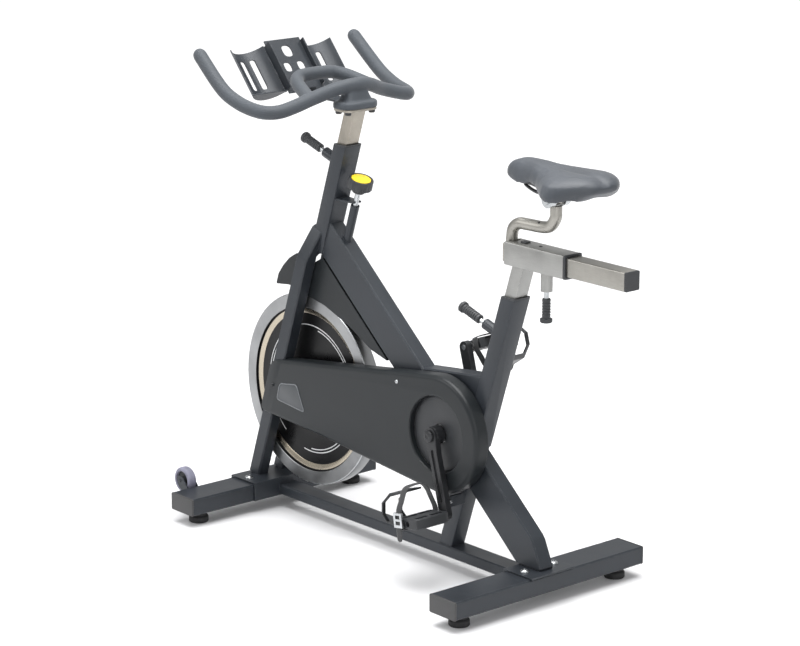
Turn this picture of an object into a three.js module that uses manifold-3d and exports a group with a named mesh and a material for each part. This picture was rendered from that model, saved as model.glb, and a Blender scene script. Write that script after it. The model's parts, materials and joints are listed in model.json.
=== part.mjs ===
// Indoor spin bike: welded steel frame on two cross feet, belt-driven flywheel in a straddling fork,
// sliding saddle and handlebar posts with spring pins, and a screw brake on the flywheel rim.
// Millimetres, +Z up, front of the bike towards -Y, the drive side (rider's left) towards +X.
import * as THREE from "three";
import { mergeVertices } from "three/addons/utils/BufferGeometryUtils.js";
import Module from "manifold-3d";

const wasm = await Module();
wasm.setup();

// ---------------------------------------------------------------- driving dimensions
// All Y values are measured from the crank axis; the finished group is shifted to its own middle.
const MIDDLE_Y = -103;
const LEAN = THREE.MathUtils.degToRad(18);
const FORK_LEAN = THREE.MathUtils.degToRad(18.35);
const GAP = 0.3;

const CRANK_Z = 317;
const CRANK_LENGTH = 170;
const CRANK_SWING = THREE.MathUtils.degToRad(18.85);
const WHEEL = { y: -485, z: 306, radius: 223, half: 15 };
const BELT = { x0: 29, x1: 41, big: 105, small: 30, thick: 3 };

const STABILISER = { half: 273, depth: 80, z0: 29, z1: 69, front: -626, rear: 265, wall: 2 };
const FOOT_PLATE = 4;
const FOOT = { x: 228, radius: 23 };
const FRAME_BOLT = { front: 80, rear: 42, radius: 4 };
const CASTER = { x: 213, y: -695, z: 80, radius: 30 };

const TUBE = { width: 48, depth: 40, wall: 2, corner: 4 };
const SEAT_TOP = { y: 181, z: 646 };
const HEAD_TOP = { y: -364, z: 890 };
const FORK = { y: -441.2, z: 690, inner: 20.5, outer: 52, depth: 35 };
const BEAM = { half: 20, top: 276, bottom: 198, slopeY: 0.652, slopeZ: 0.758 };
const BASE_TUBE = { half: 25, z0: 32, z1: 57 };

const SEAT_POST = { width: 35, depth: 32, top: 722 };
const HEAD_POST = { width: 34, depth: 32, top: 977 };
const SLIDE = { y0: 171, y1: 345, z0: 719, z1: 769, outer: 50, inner: 40, rear: 515 };
const TILT_AXIS = { y: 298, z: 876 };
// Saddle sections from nose to tail: [Y, half width, crest height, skirt height].
const SADDLE_STATIONS = [
  [164, 10, 920, 906],
  [168, 18, 930, 904],
  [180, 25, 940, 901],
  [205, 31, 948, 896],
  [228, 33, 948, 896],
  [255, 38, 947, 903],
  [285, 50, 944, 900],
  [315, 70, 942, 890],
  [345, 92, 940, 884],
  [365, 98, 940, 881],
  [385, 91, 940, 883],
  [405, 76, 939, 891],
  [422, 59, 937, 901],
  [434, 44, 932, 907],
  [441, 31, 926, 911],
];
const SADDLE_WALL = 9;
const SADDLE_FOAM = 24;
const PIN = { boss: 43, bossRadius: 12, radius: 5, gripRadius: 10, grip: 65, neck: 14 };
const SEAT_PIN_DROP = 98;
const HEAD_PIN_DROP = 49;

const COVER = { x0: 26, x1: 60, radius: 131, wall: 2.5, recess: 85, recessDepth: 15, edge: 9 };
const GUARD = { half: 18.5, wall: 1.8, clear: 229 };
const KNOB_AXIS = { y: -337, z: 758 };
const BAR_RADIUS = 15.5;
const PEDAL = { x0: 93, x1: 187, half: 30, thick: 23 };

// ---------------------------------------------------------------- materials
const paint = (color, roughness, metalness) =>
  new THREE.MeshStandardMaterial({ color, roughness, metalness });
const powderCoat = paint(0x3c4148, 0.5, 0.3);
const darkPlastic = paint(0x2b2e32, 0.6, 0);
const coverPlastic = paint(0x34383b, 0.55, 0);
const brushedSteel = paint(0xa9a69d, 0.35, 1);
const satinSteel = paint(0xb4b4b0, 0.4, 1);
const castSteel = paint(0x9a9a96, 0.4, 1);
const zincSteel = paint(0xc8c8c8, 0.25, 1);
const blackSteel = paint(0x1c1d1f, 0.45, 0.6);
const rubber = paint(0x151517, 0.9, 0);
const foam = paint(0x4c5158, 0.85, 0);
const greyTyre = paint(0x7d7c8c, 0.8, 0);
const yellowPlastic = paint(0xe0b512, 0.5, 0);
const felt = paint(0x6b5a44, 0.95, 0);

// ---------------------------------------------------------------- solids
// A closed three.js geometry, placed by an optional frame, as a solid that can be joined and cut.
function solid(geometry, frame) {
  const bare = geometry.clone();
  bare.deleteAttribute("normal");
  bare.deleteAttribute("uv");
  if (frame) bare.applyMatrix4(frame);
  const merged = mergeVertices(bare, 1e-4);
  const corners = merged.index.array;
  const kept = [];
  for (let i = 0; i < corners.length; i += 3) {
    const [a, b, c] = [corners[i], corners[i + 1], corners[i + 2]];
    if (a !== b && b !== c && c !== a) kept.push(a, b, c);
  }
  return new wasm.Manifold(
    new wasm.Mesh({
      numProp: 3,
      vertProperties: merged.attributes.position.array,
      triVerts: new Uint32Array(kept),
    }),
  );
}

const join = (first, ...others) => others.reduce((sum, other) => sum.add(other), first);
const cut = (first, ...tools) => tools.reduce((rest, tool) => rest.subtract(tool), first);

const bike = new THREE.Group();
bike.position.y = -MIDDLE_Y;

// One named piece of the bike, made from a finished solid.
function piece(name, shape, material) {
  const made = shape.getMesh();
  const geometry = new THREE.BufferGeometry();
  geometry.setAttribute("position", new THREE.BufferAttribute(made.vertProperties, 3));
  geometry.setIndex(new THREE.BufferAttribute(made.triVerts, 1));
  const flat = geometry.toNonIndexed();
  flat.computeVertexNormals();
  const mesh = new THREE.Mesh(flat, material);
  mesh.name = name;
  bike.add(mesh);
}

// ---------------------------------------------------------------- frames and primitives
// Local Z runs up a tube that leans rearwards; local -Y faces forwards and up.
function leanFrame(y, z, lean) {
  const frame = new THREE.Matrix4().makeRotationX(-lean);
  return frame.setPosition(0, y, z);
}
const seatFrame = leanFrame(SEAT_TOP.y, SEAT_TOP.z, LEAN);
const headFrame = leanFrame(HEAD_TOP.y, HEAD_TOP.z, LEAN);
const forkFrame = leanFrame(FORK.y, FORK.z, FORK_LEAN);
const knobFrame = leanFrame(KNOB_AXIS.y, KNOB_AXIS.z, LEAN);
// Shapes drawn as (Y, Z) outlines, extruded along X.
const sideFrame = new THREE.Matrix4().set(0, 0, 1, 0, 1, 0, 0, 0, 0, 1, 0, 0, 0, 0, 0, 1);
// Shapes drawn as (X, Z) outlines, extruded along -Y.
const frontFrame = new THREE.Matrix4().makeRotationX(Math.PI / 2);

function block(x0, x1, y0, y1, z0, z1, frame) {
  const box = new THREE.BoxGeometry(x1 - x0, y1 - y0, z1 - z0);
  return solid(box.translate((x0 + x1) / 2, (y0 + y1) / 2, (z0 + z1) / 2), frame);
}

function rod(radius, from, to, frame, sides = 20) {
  const start = new THREE.Vector3(...from);
  const end = new THREE.Vector3(...to);
  const along = end.clone().sub(start);
  const geometry = new THREE.CylinderGeometry(radius, radius, along.length(), sides);
  const turn = new THREE.Quaternion().setFromUnitVectors(
    new THREE.Vector3(0, 1, 0),
    along.clone().normalize(),
  );
  geometry.applyQuaternion(turn);
  geometry.translate(...start.add(end).multiplyScalar(0.5).toArray());
  return solid(geometry, frame);
}

const disc = (radius, x0, x1, y, z, sides = 24) => rod(radius, [x0, y, z], [x1, y, z], undefined, sides);

// A closed profile of [radius, x] corners turned about the X axis through (y, z).
function turned(profile, y, z, sides) {
  const points = [...profile, profile[0]].map(([radius, x]) => new THREE.Vector2(radius, x));
  const lathe = new THREE.LatheGeometry(points, sides);
  lathe.rotateZ(-Math.PI / 2);
  lathe.translate(0, y, z);
  return solid(lathe);
}

function roundedOutline(points, radius) {
  const shape = new THREE.Shape();
  const corners = points.map(([x, y, own]) => ({ at: new THREE.Vector2(x, y), radius: own ?? radius }));
  corners.forEach(({ at, radius: size }, i) => {
    const before = corners.at(i - 1).at;
    const after = corners[(i + 1) % corners.length].at;
    const enter = at.clone().add(before.clone().sub(at).setLength(size));
    const leave = at.clone().add(after.clone().sub(at).setLength(size));
    if (i === 0) shape.moveTo(enter.x, enter.y);
    else shape.lineTo(enter.x, enter.y);
    shape.quadraticCurveTo(at.x, at.y, leave.x, leave.y);
  });
  shape.closePath();
  return shape;
}

function roundedRectangle(width, height, radius) {
  const [x, y] = [width / 2, height / 2];
  return roundedOutline([[-x, -y], [x, -y], [x, y], [-x, y]], radius);
}

// A flat outline extruded along local Z; edge rounds both end faces over and keeps the outline's size.
function prism(shape, z0, z1, frame, edge = 0, detail = 3) {
  const geometry = new THREE.ExtrudeGeometry(shape, {
    depth: z1 - z0 - 2 * edge,
    curveSegments: detail,
    bevelEnabled: edge > 0,
    bevelSize: edge,
    bevelThickness: edge,
    bevelOffset: -edge,
    bevelSegments: edge > 4 ? 3 : 1,
  });
  return solid(geometry.translate(0, 0, z0 + edge), frame);
}

const sidePrism = (shape, x0, x1, edge, detail) => prism(shape, x0, x1, sideFrame, edge, detail);

function sweep(curve, radius, steps, sides = 12) {
  const section = new THREE.Shape().absarc(0, 0, radius, 0, 2 * Math.PI);
  return solid(
    new THREE.ExtrudeGeometry(section, {
      steps,
      curveSegments: sides,
      bevelEnabled: false,
      extrudePath: curve,
    }),
  );
}

// A skin stretched over rings of [x, y, z] points, each ring set further back along Y than the last.
function loft(rings) {
  const count = rings[0].length;
  const corners = [];
  for (let r = 0; r < rings.length - 1; r++)
    for (let k = 0; k < count; k++) {
      const [a, b] = [r * count + k, r * count + ((k + 1) % count)];
      corners.push(a, a + count, b, b, a + count, b + count);
    }
  const last = (rings.length - 1) * count;
  for (let k = 1; k < count - 1; k++) corners.push(0, k, k + 1, last, last + k + 1, last + k);
  const geometry = new THREE.BufferGeometry();
  geometry.setAttribute("position", new THREE.Float32BufferAttribute(rings.flat(2), 3));
  geometry.setIndex(corners);
  return solid(geometry);
}

function ring(count, place) {
  return Array.from({ length: count }, (_, i) => {
    const angle = (2 * Math.PI * i) / count;
    return place(Math.cos(angle), Math.sin(angle));
  });
}

const curveThrough = (points) =>
  new THREE.CatmullRomCurve3(points.map((p) => new THREE.Vector3(...p)), false, "centripetal");

const beamZ = (offset, y) => (offset - BEAM.slopeY * y) / BEAM.slopeZ;

// ---------------------------------------------------------------- welded frame
function tubeSolid(frame, z0, z1, width = TUBE.width, depth = TUBE.depth) {
  return prism(roundedRectangle(width, depth, TUBE.corner), z0, z1, frame, 0, 2);
}

function tubeBore(frame, z0, z1) {
  return block(
    TUBE.wall - TUBE.width / 2,
    TUBE.width / 2 - TUBE.wall,
    TUBE.wall - TUBE.depth / 2,
    TUBE.depth / 2 - TUBE.wall,
    z0,
    z1,
    frame,
  );
}

// Welded boss for a spring pin on the front face of a leaning tube, drop below the tube's top.
function pinBoss(frame, drop) {
  const face = -TUBE.depth / 2;
  return rod(PIN.bossRadius, [0, face + 3, -drop], [0, face - PIN.boss, -drop], frame, 16);
}

function pinBore(frame, drop) {
  const face = -TUBE.depth / 2;
  return rod(PIN.radius + GAP, [0, face + 4, -drop], [0, face - PIN.boss - 1, -drop], frame, 10);
}

function beamSolid() {
  const outline = roundedOutline(
    [
      [-418, beamZ(BEAM.top, -418)],
      [-452, beamZ(BEAM.bottom, -452)],
      [216, 73],
      [292, 73],
      [262, beamZ(BEAM.top, 262)],
    ],
    6,
  );
  return sidePrism(outline, -BEAM.half, BEAM.half, 3, 1);
}

function gussetSolid() {
  const outline = roundedOutline([[-92, 441], [-20, 300], [60, 300], [112, 464]], 6);
  return sidePrism(outline, -BEAM.half, BEAM.half, 3, 1);
}

function forkSolid() {
  const { inner, outer } = FORK;
  const foot = -(FORK.z - 70) / Math.cos(FORK_LEAN);
  const bend = -70;
  const crotch = -58;
  const right = [
    [24, 4],
    [outer + 1, bend],
    [outer, foot],
    [inner, foot],
    [inner, crotch],
  ];
  const left = right.map(([x, w]) => [-x, w]).reverse();
  const outline = roundedOutline([...right, ...left], 5);
  const upright = frontFrame.clone().setPosition(0, FORK.depth / 2, 0);
  return prism(outline, 0, FORK.depth, forkFrame.clone().multiply(upright), 3, 1);
}

// Plate behind a fork leg that carries the flywheel axle.
function dropoutPlate(side) {
  const inner = side * FORK.inner;
  const outer = side * (FORK.inner + 5);
  const [x0, x1] = [Math.min(inner, outer), Math.max(inner, outer)];
  return join(
    block(x0, x1, -572, WHEEL.y, WHEEL.z - 28, WHEEL.z + 28),
    disc(28, x0, x1, WHEEL.y, WHEEL.z, 20),
  );
}

// The space a cross foot takes, with its gap, that the frame keeps clear of.
function stabiliserEnvelope(y) {
  const reach = STABILISER.depth / 2 + GAP;
  return block(-300, 300, y - reach, y + reach, 0, STABILISER.z1 + GAP);
}

function frontSleeve() {
  const front = STABILISER.front - STABILISER.depth / 2 - GAP;
  const rear = STABILISER.front + STABILISER.depth / 2 + GAP;
  const top = STABILISER.z1 + GAP;
  return cut(
    block(-98, 98, front - FOOT_PLATE, rear + FOOT_PLATE, STABILISER.z0 + 1, top + FOOT_PLATE),
    block(-99, 99, front, rear, 0, top),
  );
}

function rearBracket() {
  const front = STABILISER.rear - STABILISER.depth / 2 - GAP;
  const top = STABILISER.z1 + GAP;
  return join(
    block(-62, 62, front - FOOT_PLATE, front + 84, top, top + FOOT_PLATE),
    block(-62, 62, front - FOOT_PLATE, front, STABILISER.z0 + 1, top + 1),
  );
}

function brakeGuide() {
  const plate = new THREE.Shape([[-21, -390], [21, -390], [11, -330], [-11, -330]].map(
    ([x, y]) => new THREE.Vector2(x, y),
  ));
  return join(rod(10, [0, 0, -100], [0, 0, 0], knobFrame), prism(plate, 764, 768));
}

// Insides of the welded tubes. Each opens to the next or to a small vent over a cross foot.
function tubeHollows() {
  const skin = 3;
  const beam = new THREE.Shape([
    new THREE.Vector2(-385, beamZ(BEAM.top - skin, -385)),
    new THREE.Vector2(-412, beamZ(BEAM.bottom + skin, -412)),
    new THREE.Vector2(200, beamZ(BEAM.bottom + skin, 200)),
    new THREE.Vector2(245, beamZ(BEAM.top - skin, 245)),
  ]);
  const gusset = new THREE.Shape([
    new THREE.Vector2(-70, 438),
    new THREE.Vector2(-20, 345),
    new THREE.Vector2(52, 345),
    new THREE.Vector2(80, 440),
    new THREE.Vector2(80, 452),
  ]);
  const reach = BEAM.half - skin;
  const leg = (side) => {
    const [x0, x1] = [FORK.inner + skin, FORK.outer - skin].map((x) => side * x);
    return block(Math.min(x0, x1), Math.max(x0, x1), -14.5, 14.5, -640, -80, forkFrame);
  };
  return [
    sidePrism(beam, -reach, reach),
    sidePrism(gusset, -reach, reach),
    block(-17, 17, -17, 17, -622, -290, seatFrame),
    block(-22, 22, -575, 215, BASE_TUBE.z0 + skin, BASE_TUBE.z1 - skin),
    leg(1),
    leg(-1),
  ];
}

function mainFrame() {
  const strut = tubeSolid(seatFrame, -625, -330, 40, 40);
  const seatTube = tubeSolid(seatFrame, -362, 14);
  const headTube = tubeSolid(headFrame, -262, 14);
  const baseTube = prism(
    roundedRectangle(2 * BASE_TUBE.half, BASE_TUBE.z1 - BASE_TUBE.z0, 3),
    -223,
    583,
    frontFrame.clone().setPosition(0, 0, (BASE_TUBE.z0 + BASE_TUBE.z1) / 2),
    0,
    1,
  );
  const shell = disc(22, -27, 24, 0, CRANK_Z);
  const lug = join(
    block(20, 58, 44, 50, 166, 190),
    block(16, 24, 0, 50, 166, 200),
  );
  const hollowTubes = cut(
    join(beamSolid(), gussetSolid(), strut, seatTube, headTube, baseTube, forkSolid()),
    ...tubeHollows(),
  );
  const whole = join(
    hollowTubes, shell, lug,
    dropoutPlate(1), dropoutPlate(-1), frontSleeve(), rearBracket(), brakeGuide(),
    pinBoss(seatFrame, SEAT_PIN_DROP), pinBoss(headFrame, HEAD_PIN_DROP),
  );
  return cut(
    whole,
    tubeBore(seatFrame, -300, 30),
    tubeBore(headFrame, -240, 30),
    block(-60, 60, 100, 300, SEAT_TOP.z, SEAT_TOP.z + 60),
    block(-60, 60, -420, -300, HEAD_TOP.z, HEAD_TOP.z + 60),
    pinBore(seatFrame, SEAT_PIN_DROP),
    pinBore(headFrame, HEAD_PIN_DROP),
    rod(6.6, [0, 0, -260], [0, 0, 20], knobFrame, 12),
    disc(16 + 2 * GAP, 15, 30, WHEEL.y, WHEEL.z, 18),
    disc(16 + 2 * GAP, -30, -15, WHEEL.y, WHEEL.z, 18),
    disc(18, -30, 30, 0, CRANK_Z),
    block(-200, 200, -700, 320, 0, STABILISER.z0 + 1),
    ...[STABILISER.front, STABILISER.rear].map((y) => stabiliserEnvelope(y)),
    ...[34, -34].map((x) => rod(4, [x, -641, 60], [x, -641, 90], undefined, 8)),
    rod(4, [0, 245, 60], [0, 245, 100], undefined, 8),
    ...boltPlaces().map(([x, y]) => rod(4.6, [x, y, 60], [x, y, 80], undefined, 10)),
  );
}

// ---------------------------------------------------------------- cross feet
function boltPlaces() {
  return [1, -1].flatMap((side) => [
    [side * FRAME_BOLT.front, STABILISER.front],
    [side * FRAME_BOLT.rear, STABILISER.rear],
  ]);
}

function stabiliser(y) {
  const { half, depth, z0, z1, wall } = STABILISER;
  const along = new THREE.Matrix4().set(0, 0, 1, 0, 1, 0, 0, y, 0, 1, 0, (z0 + z1) / 2, 0, 0, 0, 1);
  const outer = prism(roundedRectangle(depth, z1 - z0, 3), -half, half, along, 1.5, 1);
  const inner = block(wall - half, half - wall, y - depth / 2 + wall, y + depth / 2 - wall, z0 + wall, z1 - wall);
  const footHoles = [1, -1].map((side) => rod(5.6, [side * FOOT.x, y, z0 - 1], [side * FOOT.x, y, z0 + 5], undefined, 10));
  const bolts = boltPlaces()
    .filter(([, boltY]) => boltY === y)
    .map(([x]) => rod(4.6, [x, y, z0 - 1], [x, y, z1 + 1], undefined, 10));
  return cut(outer, inner, ...footHoles, ...bolts);
}

// Two cheeks and an axle that hold a transport wheel ahead of the front cross foot.
function casterFork(side) {
  const face = STABILISER.front - STABILISER.depth / 2;
  const cheek = (x0) => {
    const outline = roundedOutline(
      [
        [face + 1, STABILISER.z1 - 4],
        [face + 1, 38],
        [CASTER.y - 6, CASTER.z - 13],
        [CASTER.y - 12, CASTER.z + 10],
        [CASTER.y + 6, CASTER.z + 12],
      ],
      5,
    );
    return sidePrism(outline, x0, x0 + 3, 0, 1);
  };
  const x = side * CASTER.x;
  return join(cheek(x - 16), cheek(x + 13), disc(4, x - 18, x + 18, CASTER.y, CASTER.z, 12));
}

function feetAndWheels() {
  const front = join(stabiliser(STABILISER.front), casterFork(1), casterFork(-1));
  piece("front_stabiliser", front, powderCoat);
  piece("rear_stabiliser", stabiliser(STABILISER.rear), powderCoat);
  for (const [row, y] of [["front", STABILISER.front], ["rear", STABILISER.rear]])
    for (const [hand, side] of [["left", 1], ["right", -1]]) {
      const x = side * FOOT.x;
      const pad = rod(FOOT.radius, [x, y, 0], [x, y, 16], undefined, 18);
      const neck = rod(FOOT.radius - 3, [x, y, 15], [x, y, STABILISER.z0 - 2], undefined, 18);
      const stud = rod(5, [x, y, 20], [x, y, STABILISER.z0 + 24], undefined, 10);
      piece(`levelling_foot_${row}_${hand}`, join(pad, neck, stud), rubber);
      const boltX = side * FRAME_BOLT[row];
      const plateTop = STABILISER.z1 + GAP + FOOT_PLATE + GAP;
      const head = cut(
        solid(new THREE.SphereGeometry(10, 12, 6).scale(1, 1, 0.6).translate(boltX, y, plateTop)),
        block(boltX - 20, boltX + 20, y - 20, y + 20, plateTop - 20, plateTop),
      );
      const shank = rod(FRAME_BOLT.radius, [boltX, y, 40], [boltX, y, plateTop + 2], undefined, 10);
      piece(`frame_bolt_${row}_${hand}`, join(head, shank), zincSteel);
    }
  for (const [hand, side] of [["left", 1], ["right", -1]]) {
    const x = side * CASTER.x;
    const tyre = turned(
      [[21, x - 11], [27, x - 11], [30, x - 7], [30, x + 7], [27, x + 11], [21, x + 11]],
      CASTER.y, CASTER.z, 22,
    );
    const hub = turned(
      [[4.5, x - 12], [9, x - 12], [9, x - 5], [20.7, x - 5], [20.7, x + 5], [9, x + 5], [9, x + 12], [4.5, x + 12]],
      CASTER.y, CASTER.z, 18,
    );
    piece(`transport_tyre_${hand}`, tyre, greyTyre);
    piece(`transport_hub_${hand}`, hub, darkPlastic);
  }
}

// ---------------------------------------------------------------- flywheel and drive
function flywheelSet() {
  const { y, z, radius, half } = WHEEL;
  const side = [[8.3, 17], [30, 17], [34, 7], [178, 7], [188, 10], [194, half], [radius - 3, half], [radius, half - 3]];
  const profile = [...side.map(([r, x]) => [r, -x]), ...[...side].reverse()];
  piece("flywheel", turned(profile, y, z, 40), castSteel);
  piece("flywheel_axle", disc(8, -40, 44, y, z, 16), zincSteel);
  const { x0, x1, small } = BELT;
  piece("flywheel_pulley", turned([[8.3, x0 + 1], [small, x0 + 1], [small, x1], [8.3, x1]], y, z, 24), castSteel);
  for (const [hand, side] of [["left", 1], ["right", -1]]) {
    const [a, b] = side > 0 ? [20, 26] : [-26, -20];
    piece(`axle_bearing_${hand}`, turned([[8.3, a], [16, a], [16, b], [8.3, b]], y, z, 18), zincSteel);
  }
}

// Outline of a belt laid round both pulleys, grown outwards by a distance.
function beltOutline(grow) {
  const big = BELT.big + grow;
  const small = BELT.small + grow;
  const reach = Math.hypot(WHEEL.y, WHEEL.z - CRANK_Z);
  const heading = Math.atan2(WHEEL.z - CRANK_Z, WHEEL.y);
  const open = Math.acos((big - small) / reach);
  const shape = new THREE.Shape();
  shape.absarc(0, CRANK_Z, big, heading + open, heading - open + 2 * Math.PI, false);
  shape.absarc(WHEEL.y, WHEEL.z, small, heading - open + 2 * Math.PI, heading + open + 2 * Math.PI, false);
  shape.closePath();
  return shape;
}

function driveTrain() {
  const { x0, x1, big, thick } = BELT;
  const belt = cut(
    sidePrism(beltOutline(GAP + thick), x0 + 0.5, x1 - 0.5, 0, 12),
    sidePrism(beltOutline(GAP), x0 - 1, x1 + 1, 0, 12),
  );
  piece("drive_belt", belt, rubber);
  const pulley = turned(
    [[8.8, x0], [big, x0], [big, x1], [90, x1], [90, x0 + 5], [24, x0 + 5], [24, x1], [8.8, x1]],
    0, CRANK_Z, 32,
  );
  piece("crank_pulley", pulley, castSteel);
  piece("bottom_bracket", turned([[8.8, -25], [17.6, -25], [17.6, 26], [8.8, 26]], 0, CRANK_Z, 18), blackSteel);
  const spindle = join(
    disc(8.5, -79, 79, 0, CRANK_Z, 16),
    disc(12, 77.4, 82, 0, CRANK_Z, 14),
    disc(12, -82, -77.4, 0, CRANK_Z, 14),
  );
  piece("crank_spindle", spindle, zincSteel);
  crankSet("left", 1);
  crankSet("right", -1);
}

// Crank arm, pedal spindle, pedal, toe cage, strap and buckle of one side.
function crankSet(hand, side) {
  const angle = side > 0 ? CRANK_SWING : CRANK_SWING + Math.PI;
  const centre = new THREE.Matrix4().setPosition(0, 0, CRANK_Z);
  const armFrame = centre.multiply(new THREE.Matrix4().makeRotationX(angle));
  const mirror = (x0, x1) => (side > 0 ? [x0, x1] : [-x1, -x0]);

  // The arm hangs along local -Z and kicks outwards towards the pedal.
  const outline = new THREE.Shape();
  outline.absarc(0, 0, 19, 0.28, Math.PI - 0.28, false);
  outline.lineTo(-13, -40);
  outline.absarc(0, -CRANK_LENGTH, 13.5, Math.PI + 0.1, 2 * Math.PI - 0.1, false);
  outline.lineTo(13, -40);
  outline.closePath();
  const kick = 8;
  const arm = new THREE.ExtrudeGeometry(outline, { depth: 14, bevelEnabled: false, curveSegments: 6, steps: 1 });
  const grooveOutline = roundedOutline([[-5, -30], [5, -30], [5, -145], [-5, -145]], 3);
  const groove = new THREE.ExtrudeGeometry(grooveOutline, { depth: 4, bevelEnabled: false, curveSegments: 3 });
  groove.translate(0, 0, 11);
  for (const shape of [arm, groove]) {
    const spots = shape.getAttribute("position");
    for (let i = 0; i < spots.count; i++)
      spots.setZ(i, 62.4 + spots.getZ(i) + (kick * Math.max(0, -spots.getY(i))) / CRANK_LENGTH);
  }
  const handed = side > 0 ? sideFrame : new THREE.Matrix4().makeScale(-1, 1, 1).multiply(sideFrame);
  const oriented = armFrame.clone().multiply(handed);
  const flip = (geometry) => {
    if (side > 0) return geometry;
    const turnedOver = geometry.index ? geometry.toNonIndexed() : geometry;
    const spots = turnedOver.getAttribute("position");
    for (let i = 0; i < spots.count; i += 3) {
      const [x, y, z] = [spots.getX(i), spots.getY(i), spots.getZ(i)];
      spots.setXYZ(i, spots.getX(i + 1), spots.getY(i + 1), spots.getZ(i + 1));
      spots.setXYZ(i + 1, x, y, z);
    }
    return turnedOver;
  };
  const localRod = (radius, x0, x1, y, z, sides) => {
    const [a, b] = mirror(x0, x1);
    return rod(radius, [a, y, z], [b, y, z], armFrame, sides);
  };
  const armBody = cut(
    join(solid(flip(arm), oriented), localRod(20, 48, 70, 0, 0, 20)),
    solid(flip(groove), oriented),
    localRod(8.8, 40, 80, 0, 0, 20),
    localRod(6.3, 60, 90, 0, -CRANK_LENGTH, 16),
  );
  piece(`crank_arm_${hand}`, armBody, blackSteel);

  const pedalSpindle = join(
    localRod(6, 70, PEDAL.x1 - 8, 0, -CRANK_LENGTH, 16),
    localRod(9, 85, PEDAL.x0 - 2, 0, -CRANK_LENGTH, 16),
  );
  piece(`pedal_spindle_${hand}`, pedalSpindle, zincSteel);
  pedal(hand, mirror);
}

// The left pedal lies nearly level, toe a little down; the right one hangs upside down.
function pedal(hand, mirror) {
  const side = hand === "left" ? 1 : -1;
  const swing = CRANK_SWING + (side > 0 ? 0 : Math.PI);
  const axisY = CRANK_LENGTH * Math.sin(swing);
  const axisZ = CRANK_Z - CRANK_LENGTH * Math.cos(swing);
  const pitch = THREE.MathUtils.degToRad(side > 0 ? 9 : 205);
  const frame = new THREE.Matrix4().makeRotationX(pitch).setPosition(0, axisY, axisZ);
  const { x0, x1, half, thick } = PEDAL;
  const [a, b] = mirror(x0, x1);
  const middle = (a + b) / 2;
  const plan = roundedRectangle(x1 - x0, 2 * half, 10);
  const slab = prism(plan, -thick / 2, thick / 2, frame.clone().multiply(new THREE.Matrix4().setPosition(middle, 0, 0)), 2, 2);
  const window = (y0, y1, wx0, wx1) => block(middle + wx0, middle + wx1, y0, y1, -20, 20, frame);
  const body = cut(
    slab,
    window(12, 23, -38, -3), window(12, 23, 3, 38),
    window(-23, -12, -38, -3), window(-23, -12, 3, 38),
    rod(6.3, [a - 5, 0, 0], [b + 5, 0, 0], frame, 16),
  );
  piece(`pedal_${hand}`, body, darkPlastic);

  // Cage rails run forwards from the pedal, curl up round the toe and meet behind it.
  const path = (grow) => [
    [-half - 0.4, -8 - grow], [-half - 60, -8 - grow], [-half - 74 - grow, 8], [-half - 70 - grow, 34],
    [-half - 42, 56 + grow], [-half - 2, 62 + grow],
  ];
  const outerPath = path(2);
  const innerPath = path(-2).reverse();
  const cageShape = roundedOutline([...outerPath, ...innerPath], 1);
  const band = solid(
    new THREE.ExtrudeGeometry(cageShape, { depth: 56, bevelEnabled: false, curveSegments: 2 }),
    frame.clone().multiply(new THREE.Matrix4().setPosition(middle - 28, 0, 0)).multiply(sideFrame),
  );
  const opening = block(middle - 20, middle + 20, -half - 88, -half - 12, -30, 48, frame);
  piece(`toe_cage_${hand}`, cut(band, opening), blackSteel);

  // Strap: a band over the instep and under the pedal, with a buckle on its outer side.
  const strapRing = (grow) => roundedOutline(
    [
      [a - 0.6 - grow, -thick / 2 - 0.6 - grow, 4], [b + 0.6 + grow, -thick / 2 - 0.6 - grow, 4],
      [b + 0.6 + grow, 26 + grow, 10], [middle + 26, 74 + grow, 18],
      [middle - 26, 74 + grow, 18], [a - 0.6 - grow, 26 + grow, 10],
    ],
    4,
  );
  const upright = frame.clone().multiply(new THREE.Matrix4().makeRotationX(Math.PI / 2).setPosition(0, -12, 0));
  const strap = cut(prism(strapRing(3), 0, 18, upright, 0, 3), prism(strapRing(0), -1, 19, upright, 0, 3));
  piece(`pedal_strap_${hand}`, strap, rubber);
  const face = side > 0 ? b + 3.9 : a - 3.9;
  const [c, d] = [Math.min(face, face + side * 5), Math.max(face, face + side * 5)];
  const buckle = cut(
    block(c, d, -34, -8, -8, 24, frame),
    block(c - 1, d + 1, -28, -14, -2, 6, frame),
    block(c - 1, d + 1, -28, -14, 11, 19, frame),
  );
  piece(`strap_buckle_${hand}`, buckle, zincSteel);
}

// ---------------------------------------------------------------- covers
// Teardrop outline of the drive cover: a round end about the crank and a blunt end ahead of the fork leg.
function coverOutline(inset) {
  const radius = COVER.radius - inset;
  const margin = 4 - inset;
  const frontY = (z) => FORK.y + (z - FORK.z) * Math.tan(FORK_LEAN) - FORK.depth / 2 / Math.cos(FORK_LEAN) - margin;
  const [top, bottom] = [368 - inset, 236 + inset];
  const shape = new THREE.Shape();
  shape.absarc(0, CRANK_Z, radius, THREE.MathUtils.degToRad(-95.3), THREE.MathUtils.degToRad(98.4), false);
  shape.lineTo(frontY(top) + 26, top + 3);
  shape.quadraticCurveTo(frontY(top) + 3, top, frontY(top - 20), top - 20);
  shape.lineTo(frontY(bottom + 18), bottom + 18);
  shape.quadraticCurveTo(frontY(bottom), bottom, frontY(bottom) + 26, bottom - 1);
  shape.lineTo(-380, 221 + inset);
  shape.closePath();
  return shape;
}

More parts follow.
